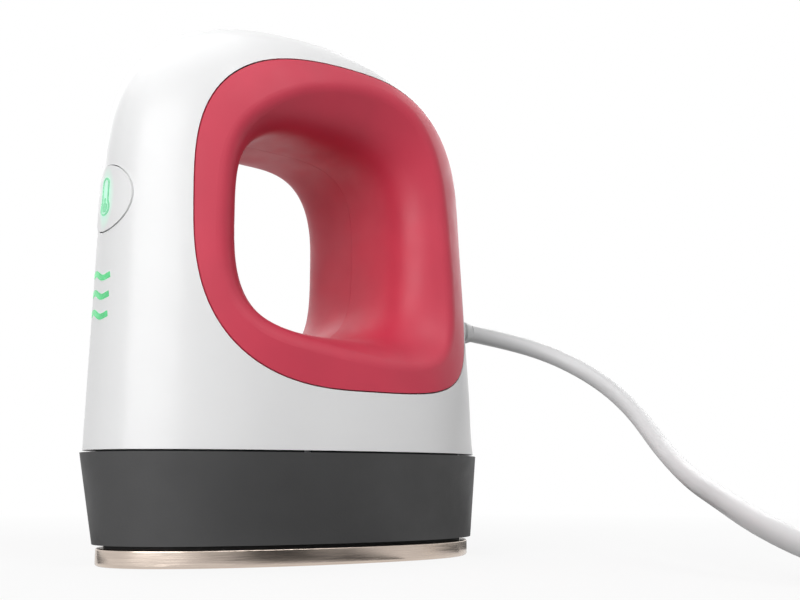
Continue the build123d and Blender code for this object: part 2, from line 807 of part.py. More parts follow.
def wave_edge(level, side, margin):
    """Upper (side 1) or lower (side -1) edge of a wavy line that is larger by margin all round."""
    points = []
    start = wave_left - margin
    span = wave_right + margin - start
    turn = 2 * math.pi / wave_length
    for step in range(wave_steps + 1):
        x = start + span * step / wave_steps
        phase = turn * (x - wave_trough)
        slope = wave_swing * turn * math.sin(phase) - wave_fall
        z = level - wave_swing * math.cos(phase) - wave_fall * (x - wave_trough)
        share = side * (wave_stroke / 2 + margin) / math.hypot(1, slope)
        points.append((x - share * slope, z + share))
    return points


def waves(margin, y_back, y_front):
    """The three wavy lines, larger by margin all round, as bars along the nose's depth."""
    with BuildPart() as group:
        with BuildSketch(front_plane(y_back)):
            for level in wave_levels:
                with BuildLine():
                    upper = Spline(*wave_edge(level, 1, margin))
                    lower = Spline(*wave_edge(level, -1, margin))
                    for end in (0, 1):
                        Line(upper @ end, lower @ end)
                make_face()
        extrude(amount=y_back - y_front)
    return group.part


nose_front = housing_front - button_travel      # clear in front of the nose
nose_depth = display_board_face                 # clear behind its wall

with BuildPart() as housing_shell:
    add(housing_form(housing_base, 0.0))
    add(housing_form(housing_base - seam_gap, housing_wall), mode=Mode.SUBTRACT)
    add(window_prism(0.0, -throat_reach, throat_reach), mode=Mode.SUBTRACT)
    add(bars(boss_root_radius, boss_places, Plane.XY.offset(boss_root_level), boss_top - boss_root_level))
    add(bars(boss_radius, boss_places, Plane.XY.offset(deck_top), boss_top - deck_top))
    add(bars(screw_radius + fit, boss_places, Plane.XY.offset(deck_top),
             housing_screw_length - deck_thickness + fit), mode=Mode.SUBTRACT)
    add(bars(button_radius + button_gap, [(0, button_z)], front_plane(nose_depth), nose_depth - nose_front),
        mode=Mode.SUBTRACT)
    add(waves(fit, nose_depth, nose_front), mode=Mode.SUBTRACT)
    add(bars(boot_neck_radius + boot_neck_gap, [(0, cord_height)], front_plane(housing_back),
             housing_back - boot_flange_y), mode=Mode.SUBTRACT)
housing_shell.part.label = "housing_shell"
export_step(housing_shell.part, "parts/housing_shell.step")

# ---------------------------------------------------------------- grip

boss_reach = dowel_radius + dowel_boss


def dowel_bars(radius, x_from, x_to):
    """Round bars across the parting line, one at each dowel."""
    return bars(radius, dowel_places, Plane.YZ.offset(x_from), x_to - x_from)


def grip_hollow():
    """Space behind the grip's walls, open towards the inside of the housing."""
    with BuildPart() as hollow:
        add(housing_form(housing_base, grip_wall))
        add(window_prism(grip_gap + grip_wall, 0.0, throat_reach), mode=Mode.INTERSECT)
        add(window_prism(-grip_wall, 0.0, grip_flange_line))
        add(throat_form(grip_wall), mode=Mode.SUBTRACT)
    return hollow.part


with BuildPart() as grip_right:
    add(housing_form(housing_base, 0.0))
    add(window_prism(grip_gap, parting_gap / 2, throat_reach), mode=Mode.INTERSECT)
    add(throat_form(0.0), mode=Mode.SUBTRACT)
    mouth = grip_right.edges().filter_by(
        lambda e: e.bounding_box().min.Z > window_low + band / 3
        and e.bounding_box().max.Z < window_high - band / 3
        and e.bounding_box().min.X > grip_flange_line)
    fillet(mouth, grip_round)
    add(grip_hollow(), mode=Mode.SUBTRACT)
    add(dowel_bars(boss_reach, parting_gap / 2, grip_flange_line))
    add(dowel_bars(dowel_radius + fit, 0.0, dowel_length / 2 + fit), mode=Mode.SUBTRACT)
grip_right.part.label = "grip_right"
export_step(grip_right.part, "parts/grip_right.step")

with BuildPart() as grip_left:
    mirror(grip_right.part, about=Plane.YZ)
grip_left.part.label = "grip_left"
export_step(grip_left.part, "parts/grip_left.step")

with BuildPart() as grip_dowels:
    add(dowel_bars(dowel_radius, -dowel_length / 2, dowel_length / 2))
grip_dowels.part.label = "grip_dowels"
export_step(grip_dowels.part, "parts/grip_dowels.step")

# ---------------------------------------------------------------- button, lights and display board


def cap_disc(radius, outer, inner):
    """Round slice of the nose at the button, between two insets."""
    with BuildPart() as disc:
        add(bars(radius, [(0, button_z)], front_plane(nose_depth), nose_depth - nose_front))
        add(nose_slice(button_z, nose_reach, outer, inner), mode=Mode.INTERSECT)
    return disc.part


with BuildPart() as temperature_button:
    add(cap_disc(button_radius, -button_proud, cap_back))
    add(cap_disc(button_radius + button_flange, housing_wall + flange_clearance, cap_back))
temperature_button.part.label = "temperature_button"
export_step(temperature_button.part, "parts/temperature_button.step")

icon_z = button_z + icon_shift
bulb_z = icon_z - icon_height / 2 + icon_bulb / 2
tube_z = icon_z + icon_height / 2 - icon_tube / 2


def thermometer(inset):
    """Bar with the outline of a thermometer, drawn in by inset."""
    with BuildPart() as outline:
        with BuildSketch(front_plane(nose_depth)):
            with Locations((0, bulb_z)):
                Circle(icon_bulb / 2 - inset)
            with Locations((0, (bulb_z + tube_z) / 2)):
                SlotCenterToCenter(tube_z - bulb_z, icon_tube - 2 * inset, rotation=90)
        extrude(amount=nose_depth - nose_front)
    return outline.part


with BuildPart() as button_icon:
    add(thermometer(0.0))
    add(thermometer(icon_stroke), mode=Mode.SUBTRACT)
    add(bars(icon_bulb / 2 - 2 * icon_stroke, [(0, bulb_z)], front_plane(nose_depth),
             nose_depth - nose_front))
    add(front_block(icon_mercury, button_z - bulb_z, (button_z + bulb_z) / 2, nose_depth, nose_front))
    add(nose_slice(button_z, nose_reach, -button_proud - icon_raise, -button_proud), mode=Mode.INTERSECT)
button_icon.part.label = "button_icon"
export_step(button_icon.part, "parts/button_icon.step")

switch_face = display_board_face - switch_height
plunger_end = switch_face + plunger_dip
with BuildPart() as tact_plunger:
    add(bars(plunger_radius, [(0, button_z)], front_plane(plunger_end), plunger_end - nose_front))
    add(nose_form(button_z, nose_reach, cap_back), mode=Mode.INTERSECT)
tact_plunger.part.label = "tact_plunger"
export_step(tact_plunger.part, "parts/tact_plunger.step")

with BuildPart() as tact_switch:
    add(front_block(switch_size, switch_size, button_z, display_board_face, switch_face))
    add(bars(plunger_radius + plunger_gap, [(0, button_z)], front_plane(switch_face), -switch_bore_depth),
        mode=Mode.SUBTRACT)
tact_switch.part.label = "tact_switch"
export_step(tact_switch.part, "parts/tact_switch.step")

with BuildPart() as level_lights:
    add(waves(0.0, nose_depth, nose_front))
    add(nose_slice(lights_centre, lights_reach, -wave_raise, housing_wall + guide_gap), mode=Mode.INTERSECT)
level_lights.part.label = "level_lights"
export_step(level_lights.part, "parts/level_lights.step")

guide_low = wave_levels[-1] - guide_margin_low
guide_high = wave_levels[0] + guide_margin_high
guide_back = display_board_face - led_depth - guide_gap
guide_height = guide_high - guide_low
guide_middle = (guide_high + guide_low) / 2
with BuildPart() as light_guide:
    add(front_block(2 * guide_half, guide_height, guide_middle, guide_back, nose_front))
    add(nose_form(lights_centre, lights_reach, housing_wall + guide_gap), mode=Mode.INTERSECT)
    with BuildSketch(front_plane(display_board_face)):
        with Locations(*[(side * (guide_half - guide_leg / 2), guide_middle) for side in (-1, 1)]):
            Rectangle(guide_leg, guide_height)
    extrude(amount=display_board_face - guide_back)
light_guide.part.label = "light_guide"
export_step(light_guide.part, "parts/light_guide.step")

with BuildPart() as leds:
    with BuildSketch(front_plane(display_board_face)):
        with Locations(*[(0, z) for z in led_levels]):
            Rectangle(led_width, led_height)
    extrude(amount=led_depth)
leds.part.label = "leds"
export_step(leds.part, "parts/leds.step")

display_board_height = display_board_high - display_board_low
with BuildPart() as display_board:
    add(front_block(2 * display_board_half, display_board_height,
                    display_board_low + display_board_height / 2, display_board_back, display_board_face))
    add(bars(small_screw_radius + fit, [(0, z) for z in display_screw_levels],
             front_plane(display_board_back), board_thickness), mode=Mode.SUBTRACT)
display_board.part.label = "display_board"
export_step(display_board.part, "parts/display_board.step")

with BuildPart() as display_screws:
    add(screws([(0, z) for z in display_screw_levels], front_plane(display_board_face), small_screw_radius,
               small_screw_length, small_head_radius, small_head_height))
display_screws.part.label = "display_screws"
export_step(display_screws.part, "parts/display_screws.step")

# ---------------------------------------------------------------- power board and wiring

with BuildPart() as ribbon_cable:
    with BuildLine() as ribbon_path:
        FilletPolyline((0, display_board_face + board_thickness / 2, display_board_low),
                       (0, display_board_face + board_thickness / 2, ribbon_level),
                       (0, board_front + ribbon_landing, ribbon_level),
                       (0, board_front + ribbon_landing, power_board_top), radius=ribbon_bend)
    with BuildSketch(Plane(origin=ribbon_path.line @ 0, x_dir=(1, 0, 0), z_dir=ribbon_path.line % 0)):
        Rectangle(ribbon_width, ribbon_thickness)
    sweep()
ribbon_cable.part.label = "ribbon_cable"
export_step(ribbon_cable.part, "parts/ribbon_cable.step")

with BuildPart() as power_board:
    add(block(2 * board_half_width, board_back - board_front, board_thickness,
              (0, (board_back + board_front) / 2), power_board_level))
    add(bars(small_screw_radius + fit, post_places, Plane.XY.offset(power_board_level), board_thickness),
        mode=Mode.SUBTRACT)
power_board.part.label = "power_board"
export_step(power_board.part, "parts/power_board.step")

with BuildPart() as board_screws:
    add(screws(post_places, Plane.XY.offset(power_board_top), small_screw_radius, small_screw_length,
               small_head_radius, small_head_height))
board_screws.part.label = "board_screws"
export_step(board_screws.part, "parts/board_screws.step")

with BuildPart() as transformer:
    add(block(*transformer_size, (0, plate_middle + transformer_shift), power_board_top))
    chamfer(transformer.edges().filter_by(Axis.Z), transformer_chamfer)
transformer.part.label = "transformer"
export_step(transformer.part, "parts/transformer.step")

with BuildPart() as relay:
    add(block(*relay_size, (0, plate_middle + relay_shift), power_board_top))
    fillet(relay.edges().group_by(Axis.Z)[-1], relay_round)
relay.part.label = "relay"
export_step(relay.part, "parts/relay.step")

with BuildPart() as capacitor:
    add(bars(capacitor_radius, on_plate([capacitor_spot]), Plane.XY.offset(power_board_top),
             capacitor_height))
    fillet(capacitor.edges().group_by(Axis.Z)[-1], capacitor_round)
capacitor.part.label = "capacitor"
export_step(capacitor.part, "parts/capacitor.step")

board_fuse_x, board_fuse_y = on_plate([board_fuse_spot])[0]
with BuildPart() as board_fuse:
    add(bars(board_fuse_radius, [(board_fuse_x, power_board_top + board_fuse_radius)],
             front_plane(board_fuse_y + board_fuse_length / 2), board_fuse_length))
board_fuse.part.label = "board_fuse"
export_step(board_fuse.part, "parts/board_fuse.step")

terminal_place = on_plate([terminal_spot])[0]
with BuildPart() as terminal_block:
    add(block(*terminal_size, terminal_place, power_board_top))
terminal_block.part.label = "terminal_block"
export_step(terminal_block.part, "parts/terminal_block.step")

terminal_back = terminal_place[1] + terminal_size[1] / 2
with BuildPart() as mains_leads:
    for side, level in zip((1, -1), mains_levels):
        x = side * cord_radius / 2
        end = terminal_place[0] - side * mains_spread
        add(wire([(x, jacket_end, cord_height), (x, mains_drop_y, cord_height), (x, mains_drop_y, level),
                  (end, mains_drop_y, level), (end, terminal_back, level)], lead_radius, lead_bend))
mains_leads.part.label = "mains_leads"
export_step(mains_leads.part, "parts/mains_leads.step")

with BuildPart() as heater_leads:
    add(heater_wires(lead_radius))
heater_leads.part.label = "heater_leads"
export_step(heater_leads.part, "parts/heater_leads.step")

sensor_level = pad_top + thermistor_size[2] / 2
with BuildPart() as sensor_leads:
    for x in (-thermistor_lead_x, thermistor_lead_x):
        add(wire([(x, sensor_rise_y - thin_lead_run, sensor_level), (x, sensor_rise_y, sensor_level),
                  (x, sensor_rise_y, power_board_level)], thin_lead_radius, thin_lead_bend))
sensor_leads.part.label = "sensor_leads"
export_step(sensor_leads.part, "parts/sensor_leads.step")

with BuildPart() as fuse_leads:
    for side in (-1, 1):
        fuse_end = fuse_link_y + side * fuse_link_length / 2
        add(wire([(0, fuse_end, fuse_link_level), (0, fuse_end + side * thin_lead_run, fuse_link_level),
                  (0, fuse_end + side * thin_lead_run, power_board_level)], thin_lead_radius, thin_lead_bend))
fuse_leads.part.label = "fuse_leads"
export_step(fuse_leads.part, "parts/fuse_leads.step")

# ---------------------------------------------------------------- cord clamp and strain relief

with BuildPart() as cord_clamp:
    add(block(2 * saddle_half, saddle_depth, cord_clamp_height, (0, saddle_middle), cord_height))
    add(bars(cord_radius + fit, [(0, cord_height)], front_plane(saddle_back), saddle_depth),
        mode=Mode.SUBTRACT)
    add(bars(small_screw_radius + fit, clamp_bolts, Plane.XY.offset(cord_height), cord_clamp_height),
        mode=Mode.SUBTRACT)
cord_clamp.part.label = "cord_clamp"
export_step(cord_clamp.part, "parts/cord_clamp.step")

with BuildPart() as clamp_screws:
    add(screws(clamp_bolts, Plane.XY.offset(cord_height + cord_clamp_height), small_screw_radius,
               cord_clamp_height + small_screw_length - fit, small_head_radius, small_head_height))
clamp_screws.part.label = "clamp_screws"
export_step(clamp_screws.part, "parts/clamp_screws.step")

with BuildPart() as cord_jacket:
    add(bars(cord_radius, [(0, cord_height)], front_plane(boot_tail), boot_tail - jacket_end))
cord_jacket.part.label = "cord_jacket"
export_step(cord_jacket.part, "parts/cord_jacket.step")

# The boot's free end follows an arc that ends where the cord's route begins.
rear_rise = (cord_height - housing_base) / (crown_height - housing_base)
boot_start = housing_back - back_lean * rear_rise + boot_straight


def boot_free_end():
    """Tapered end of the boot outside the housing."""
    with BuildPart() as free_end:
        with BuildSketch(front_plane(boot_flange_y)):
            with Locations((0, cord_height)):
                Circle(boot_root_radius)
        for step in range(boot_steps + 1):
            share = step / boot_steps
            angle = math.radians(boot_turn) * share
            place = (boot_bend * (1 - math.cos(angle)), boot_start + boot_bend * math.sin(angle), cord_height)
            with BuildSketch(Plane(origin=place, x_dir=(math.cos(angle), -math.sin(angle), 0),
                                   z_dir=(math.sin(angle), math.cos(angle), 0))):
                Circle(boot_root_radius + (boot_tip_radius - boot_root_radius) * share)
        loft()
        add(housing_form(housing_base, -boot_root_gap), mode=Mode.SUBTRACT)
    return free_end.part


def boot_flange():
    """Flange that bears on the inside of the housing's wall."""
    with BuildPart() as flange:
        add(bars(boot_flange_radius, [(0, cord_height)], front_plane(housing_back),
                 housing_back - boot_flange_y))
        add(housing_form(housing_base, housing_wall + boot_flange_gap), mode=Mode.INTERSECT)
    return flange.part


with BuildPart() as strain_relief:
    add(bars(boot_tail_radius, [(0, cord_height)], front_plane(boot_flange_y), boot_flange_y - boot_tail))
    add(bars(boot_neck_radius, [(0, cord_height)], front_plane(boot_start), boot_start - boot_flange_y))
    add(boot_flange())
    add(boot_free_end())
strain_relief.part.label = "strain_relief"
export_step(strain_relief.part, "parts/strain_relief.step")

# ---------------------------------------------------------------- cord, coil and plug


def route_radii(points):
    """The largest bend at each inner point of a route, from the same share of its shorter run."""
    radii = []
    for before, here, after in zip(points, points[1:], points[2:]):
        into = Vector(*here) - Vector(*before)
        out = Vector(*after) - Vector(*here)
        half_turn = math.radians(into.get_angle(out)) / 2
        radii.append(bend_share * min(into.length, out.length) / math.tan(half_turn))
    return radii


cord_radii = route_radii(cord_route)
print("cord radii", [round(radius, 1) for radius in cord_radii])

with BuildPart() as power_cord:
    with BuildLine() as cord_path:
        FilletPolyline(*cord_route, radius=cord_radii)
    with BuildSketch(Plane(origin=cord_path.line @ 0, z_dir=cord_path.line % 0)):
        Circle(cord_radius)
    sweep()
cord_length = sum(edge.length for edge in cord_path.edges())
power_cord.part.label = "power_cord"
export_step(power_cord.part, "parts/power_cord.step")
print("cord volume", round(power_cord.part.volume, 1),
      "section times length", round(math.pi * cord_radius ** 2 * cord_length, 1))

tail = math.radians(tail_angle)
tail_way = Vector(-math.sin(tail), math.cos(tail), 0)
tail_start = Vector(coil_centre[0] + coil_turn_radius * math.cos(tail),
                    coil_centre[1] + coil_turn_radius * math.sin(tail), lead_level)
plug_plane = Plane(origin=tail_start + tail_way * tail_length, x_dir=(math.cos(tail), math.sin(tail), 0),
                   z_dir=tail_way)

with BuildPart() as plug_lead:
    with BuildSketch(Plane(origin=tail_start, x_dir=plug_plane.x_dir, z_dir=tail_way)):
        Circle(cord_radius)
    extrude(amount=tail_length)
plug_lead.part.label = "plug_lead"
export_step(plug_lead.part, "parts/plug_lead.step")

coil_outer = coil_turn_radius + cord_radius + coil_margin
coil_inner = coil_turn_radius - cord_radius * (coil_part_turns + 1) - coil_margin
with BuildPart() as cord_coil:
    with BuildSketch(Plane.XY.offset(coil_bottom)):
        with Locations(coil_centre):
            Circle(coil_outer)
            Circle(coil_inner, mode=Mode.SUBTRACT)
    extrude(amount=coil_height)
    add(power_cord.part, mode=Mode.SUBTRACT)
    add(plug_lead.part, mode=Mode.SUBTRACT)
cord_coil.part.label = "cord_coil"
export_step(cord_coil.part, "parts/cord_coil.step")

tie_plane = Plane(origin=(*coil_centre, 0), z_dir=(0, 0, 1)).rotated((0, 0, tie_angle))
with BuildPart() as coil_tie:
    with BuildSketch(Plane.XY):
        with Locations(coil_centre):
            Circle(coil_outer + tie_thickness)
            Circle(coil_inner - tie_thickness, mode=Mode.SUBTRACT)
    extrude(amount=coil_height + 2 * tie_thickness)
    with BuildSketch(Plane.XY.offset(coil_bottom)):
        with Locations(coil_centre):
            Circle(coil_outer)
            Circle(coil_inner, mode=Mode.SUBTRACT)
    extrude(amount=coil_height, mode=Mode.SUBTRACT)
    with BuildSketch(tie_plane):
        with Locations((coil_outer / 2 + tie_thickness, 0)):
            Rectangle(coil_outer + 2 * tie_thickness, tie_width)
    extrude(amount=coil_height + 2 * tie_thickness, mode=Mode.INTERSECT)
coil_tie.part.label = "coil_tie"
export_step(coil_tie.part, "parts/coil_tie.step")

with BuildPart() as plug_body:
    with BuildSketch(plug_plane):
        Circle(boot_tip_radius)
    with BuildSketch(plug_plane.offset(plug_neck_length)):
        Circle(plug_neck_radius)
    loft()
    with BuildSketch(plug_plane.offset(plug_neck_length)):
        RectangleRounded(plug_width, 2 * lead_level, plug_round)
    extrude(amount=plug_body_length)
plug_body.part.label = "plug_body"
export_step(plug_body.part, "parts/plug_body.step")

with BuildPart() as plug_blades:
    with BuildSketch(plug_plane.offset(plug_neck_length + plug_body_length)):
        with Locations((-blade_spacing / 2, 0), (blade_spacing / 2, 0)):
            Rectangle(blade_thickness, blade_width)
    extrude(amount=blade_length)
plug_blades.part.label = "plug_blades"
export_step(plug_blades.part, "parts/plug_blades.step")
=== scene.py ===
# %% [markdown]
# # A mini handheld heat press
# The press is a heated plate under a grey skirt, with a glossy white housing above it. A red soft-touch
# grip lines the hand opening, a button and three level lights sit on the nose, and a mains cord leaves the
# back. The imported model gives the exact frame: every piece below stays in it, in metres. Small sizes are
# easier to read in millimetres, so most are written that way and multiplied by MM.

# %% Load the frame
import bpy
import bmesh
import json
import math
from mathutils import Matrix, Vector


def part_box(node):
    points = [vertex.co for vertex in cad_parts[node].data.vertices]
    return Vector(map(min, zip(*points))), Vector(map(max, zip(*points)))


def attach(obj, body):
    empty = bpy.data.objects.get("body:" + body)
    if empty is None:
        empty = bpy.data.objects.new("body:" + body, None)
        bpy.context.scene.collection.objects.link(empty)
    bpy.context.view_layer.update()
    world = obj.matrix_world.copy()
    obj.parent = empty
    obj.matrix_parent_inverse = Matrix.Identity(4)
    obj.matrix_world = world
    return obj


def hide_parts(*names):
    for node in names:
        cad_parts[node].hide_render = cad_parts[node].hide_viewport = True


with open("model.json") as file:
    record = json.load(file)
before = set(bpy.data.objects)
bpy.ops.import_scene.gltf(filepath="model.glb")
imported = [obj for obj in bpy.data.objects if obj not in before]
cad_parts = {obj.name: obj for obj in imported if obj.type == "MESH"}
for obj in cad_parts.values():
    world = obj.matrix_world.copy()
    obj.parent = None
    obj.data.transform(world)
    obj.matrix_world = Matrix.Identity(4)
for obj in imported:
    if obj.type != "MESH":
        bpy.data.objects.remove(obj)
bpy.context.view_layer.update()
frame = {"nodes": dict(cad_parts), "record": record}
nodes = frame["nodes"]
MM = 0.001

# %% [markdown]
# ## Camera
# The camera stands low, off the nose and to its +X side, and looks slightly up. A plain 50 mm lens with no
# shift does: the press's upright edges then lean in only as much as that small tilt asks.

# %% Camera
camera_place = Vector((187.32, -137.20, 14.94)) * MM
camera_turn = 47.96                # degrees, from looking along +Y towards -X
camera_tilt = 9.36                 # degrees up

camera_data = bpy.data.cameras.new("camera")
camera_data.lens = 50
camera_data.sensor_width = 36
camera_data.clip_start = 0.01
camera = bpy.data.objects.new("camera", camera_data)
camera.location = camera_place
camera.rotation_euler = (math.radians(90 + camera_tilt), 0, math.radians(camera_turn))
bpy.context.scene.collection.objects.link(camera)
bpy.context.scene.camera = camera
print("camera", round(camera_place.length, 3), "m from the middle of the plate")

# %% [markdown]
# ## Cord
# A mains lead is springy: it leaves its boot level, droops in one long curve and lies on the table. Its
# spare length is wound into a flat coil of two layers, one spiralling in and the next one out, with the
# turns side by side. One smooth curve goes through all of it, because a cord has one length and no joints.
# The free stretch is a short list of points; the coil is regular, so a small function gives its points.

# %% Cord route
cord_radius = 2.0
cord_route = [
    (1.97, 52.55, 50.4),
    (6.0, 63.2, 48.8),
    (14.1, 70.6, 45.0),
    (24.7, 73.6, 38.6),
    (35.6, 71.2, 31.0),
    (50.0, 61.2, 21.4),
    (64.0, 49.6, 15.6),
    (77.6, 37.4, 12.4),
    (91.0, 27.2, 8.4),
    (105.0, 20.6, 4.6),
    (119.0, 18.2, 3.0),
    (132.0, 18.0, 2.9),
]
coil_centre = (132.0, 50.5)
coil_turn_radius = 32.5
coil_turns = 8
coil_start_angle = -90.0           # degrees, where the free stretch meets the coil
tail_angle = 75.0                  # degrees, where the coil lets the tail go
tail_length = 22.0
lower_layer = 2.9
points_per_turn = 16


def coil_points():
    """Points of both layers, from the outer turn in along the table and back out on top."""
    span = coil_turns * 360 + tail_angle - coil_start_angle
    steps = round(span / 360 * points_per_turn)
    points = []
    for step in range(1, steps + 1):
        share = step / steps
        depth = 1 - abs(2 * share - 1)
        radius = coil_turn_radius - 2 * cord_radius * span / 720 * depth
        # Half-way along the coil, the cord climbs to the upper layer in about a quarter turn.
        rise = min(1.0, max(0.0, (share - 0.5) * coil_turns * 4 + 0.5))
        smooth_rise = rise * rise * (3 - 2 * rise)
        angle = math.radians(span * share + coil_start_angle)
        points.append((coil_centre[0] + radius * math.cos(angle),
                       coil_centre[1] + radius * math.sin(angle),
                       lower_layer + 2 * cord_radius * smooth_rise))
    return points


tail = math.radians(tail_angle)
turns = coil_points()
tail_way = Vector((-math.sin(tail), math.cos(tail), 0))
tail_end = Vector(turns[-1]) + tail_way * tail_length
route = cord_route + turns + [tuple(Vector(turns[-1]).lerp(tail_end, 0.5)), tuple(tail_end)]
print("cord points", len(route))

# %% [markdown]
# ## Cord curve
# The route becomes the control points of a NURBS curve, which runs smoothly past them. The cord's thickness
# could be the curve's bevel depth, but the radius of each point does the same and keeps the curve's box
# true, so the depth is one and the radius holds the size.

# %% Cord curve
cord_curve = bpy.data.curves.new("mains_cord", "CURVE")
cord_curve.dimensions = "3D"
spline = cord_curve.splines.new("NURBS")
spline.points.add(len(route) - 1)
for point, place in zip(spline.points, route):
    point.co = (*(Vector(place) * MM), 1.0)
    point.radius = cord_radius * MM
spline.order_u = 3
spline.use_endpoint_u = True
spline.resolution_u = 6
cord_curve.bevel_depth = 1.0
cord_curve.bevel_resolution = 5
cord_curve.use_fill_caps = True
mains_cord = bpy.data.objects.new("mains_cord", cord_curve)
bpy.context.scene.collection.objects.link(mains_cord)
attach(mains_cord, "press")
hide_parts("power_cord", "cord_coil", "plug_lead")
print("cord length", round(spline.calc_length(), 3), "m")

# %% [markdown]
# ## Pieces from bmesh
# The cord's boot, its tie, the plug and the blades are small moulded or pressed things, so each one starts
# from a circle or a cube and is extruded, bevelled and turned into its place. A few helpers do the common
# work. The first ones add a box and round its edges over.

# %% Helpers for boxes


def block(shape, axes, place, size):
    """Adds a box on axes of its own, by its middle and its size in millimetres; gives its vertices."""
    fitted = Matrix.Translation(Vector(place) * MM) @ Matrix.Diagonal((*(Vector(size) * MM), 1))
    return bmesh.ops.create_cube(shape, size=1.0, matrix=axes @ fitted)["verts"]


def edges_between(shape, verts):
    """Edges that have both their ends among the given vertices."""
    chosen = set(verts)
    return [edge for edge in shape.edges if set(edge.verts) <= chosen]


def soften(shape, edges, width, segments):
    """Rounds edges over, by a width in millimetres."""
    bmesh.ops.bevel(shape, geom=edges, offset=width * MM, segments=segments, profile=0.5, material=-1,
                    affect="EDGES")


def soft_block(shape, axes, place, size, width, segments):
    """Adds a box whose edges are all rounded over."""
    verts = block(shape, axes, place, size)
    soften(shape, edges_between(shape, verts), width, segments)


print("helpers for boxes are ready")

# %% [markdown]
# ## Sleeves
# Boot and plug neck are round sleeves whose radius changes along a line. A lathe turn with spin would do
# for a straight one, but the boot is bent, so a disc is extruded ring by ring instead, and each new ring is
# moved to its own place on the line. The last helper cleans a finished shape, makes it a mesh and hangs it
# on the press.

# %% Helpers for sleeves and finished shapes
sleeve_segments = 40
sharp_angle = 35                   # degrees: gentler edges than this are smoothed over
merge_distance = 1e-6              # metres


def grow_sleeve(shape, stations, axes_at):
    """Closed round sleeve through stations, each a distance and a radius in millimetres."""
    first_distance, first_radius = stations[0]
    disc = bmesh.ops.create_circle(shape, cap_ends=True, segments=sleeve_segments, radius=first_radius * MM)
    bmesh.ops.transform(shape, matrix=axes_at(first_distance), verts=disc["verts"])
    rim = edges_between(shape, disc["verts"])
    for (here, radius), (there, new_radius) in zip(stations, stations[1:]):
        grown = bmesh.ops.extrude_edge_only(shape, edges=rim)["geom"]
        ring = [item for item in grown if isinstance(item, bmesh.types.BMVert)]
        rim = edges_between(shape, ring)
        step = axes_at(there) @ Matrix.Scale(new_radius / radius, 4) @ axes_at(here).inverted()
        bmesh.ops.transform(shape, matrix=step, verts=ring)
    bmesh.ops.edgeloop_fill(shape, edges=rim)


def put_in_place(name, shape, slot, *stands_for):
    """Turns a finished bmesh into a piece that rides on the press and stands for its CAD nodes."""
    bmesh.ops.remove_doubles(shape, verts=shape.verts, dist=merge_distance)
    bmesh.ops.recalc_face_normals(shape, faces=shape.faces)
    mesh = bpy.data.meshes.new(name)
    shape.to_mesh(mesh)
    shape.free()
    mesh.shade_smooth()
    mesh.set_sharp_from_angle(angle=math.radians(sharp_angle))
    piece = bpy.data.objects.new(name, mesh)
    bpy.context.scene.collection.objects.link(piece)
    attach(piece, "press")
    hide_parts(*stands_for)
    print(name, len(mesh.polygons), "faces")
    return piece


print("sleeves have", sleeve_segments, "sides")

# %% [markdown]
# ## Strain relief
# A soft boot keeps the cord from kinking where it leaves the housing. Inside, it has a tail and a flange
# that bears on the wall; outside, it tapers and is cut into rings, so that it bends a little at each of
# them. The boot is grown along a line that runs straight out through the wall and then flexes sideways with
# the cord.

# %% Boot line
boot_height = 50.4
boot_inner_end = 32.0              # along Y
boot_flex_start = 42.41            # along Y, where its line begins to flex
boot_flex_radius = 27.06
boot_flex_angle = math.radians(22.0)
boot_straight = boot_flex_start - boot_inner_end
boot_free_length = boot_flex_radius * boot_flex_angle


def boot_frame(distance):
    """Place and direction on the boot's line, as a matrix whose Z runs along it."""
    angle = max(0.0, distance - boot_straight) / boot_flex_radius
    still_straight = max(0.0, boot_straight - distance)
    place = Vector((boot_flex_radius * (1 - math.cos(angle)),
                    boot_flex_start + boot_flex_radius * math.sin(angle) - still_straight,
                    boot_height))
    outwards = Matrix.Rotation(-math.pi / 2, 4, "X")
    return Matrix.Translation(place * MM) @ Matrix.Rotation(-angle, 4, "Z") @ outwards


print("boot line", round(boot_straight + boot_free_length, 2), "mm")

# %% Boot shape
flange_start, flange_end = 5.25, 7.8
wall_end = 10.35                   # like the flange's ends, from the boot's inner end
boot_tail_radius = 3.0
flange_radius = 5.45
boot_neck_radius = 3.65            # where it goes through the wall
boot_root_radius = 4.35
boot_tip_radius = 2.45
sleeve_mouth_radius = 2.25         # where a sleeve closes on the cord
boot_rings = 5
boot_first_ring = 1.0              # from the wall
boot_plain_end = 1.6               # what the rings leave free of the free length
boot_ring_profile = [(0.0, 0.05), (0.12, -0.1), (0.2, -0.75), (0.62, -0.78), (0.7, -0.15), (0.85, -0.02)]

boot_stations = [
    (0.0, boot_tail_radius - 0.4), (0.4, boot_tail_radius), (flange_start, boot_tail_radius),
    (flange_start + 0.02, flange_radius - 0.35), (flange_start + 0.4, flange_radius),
    (flange_end - 0.2, flange_radius), (flange_end, flange_radius - 0.25),
    (flange_end + 0.02, boot_neck_radius), (wall_end, boot_neck_radius),
    (wall_end + 0.02, boot_root_radius - 0.35), (wall_end + 0.35, boot_root_radius),
]
ring_pitch = (boot_free_length - boot_plain_end) / boot_rings
for ring in range(boot_rings):
    start = wall_end + boot_first_ring + ring * ring_pitch
    outer = boot_root_radius - (boot_root_radius - boot_tip_radius) * (ring + 0.5) / boot_rings
    boot_stations += [(start + along, outer + out) for along, out in boot_ring_profile]
boot_end = wall_end + boot_free_length
boot_stations += [(boot_end - 0.4, sleeve_mouth_radius), (boot_end, sleeve_mouth_radius - 0.15)]
boot_shape = bmesh.new()
grow_sleeve(boot_shape, boot_stations, boot_frame)
flex_boot = put_in_place("flex_boot", boot_shape, "cord_boot", "strain_relief")

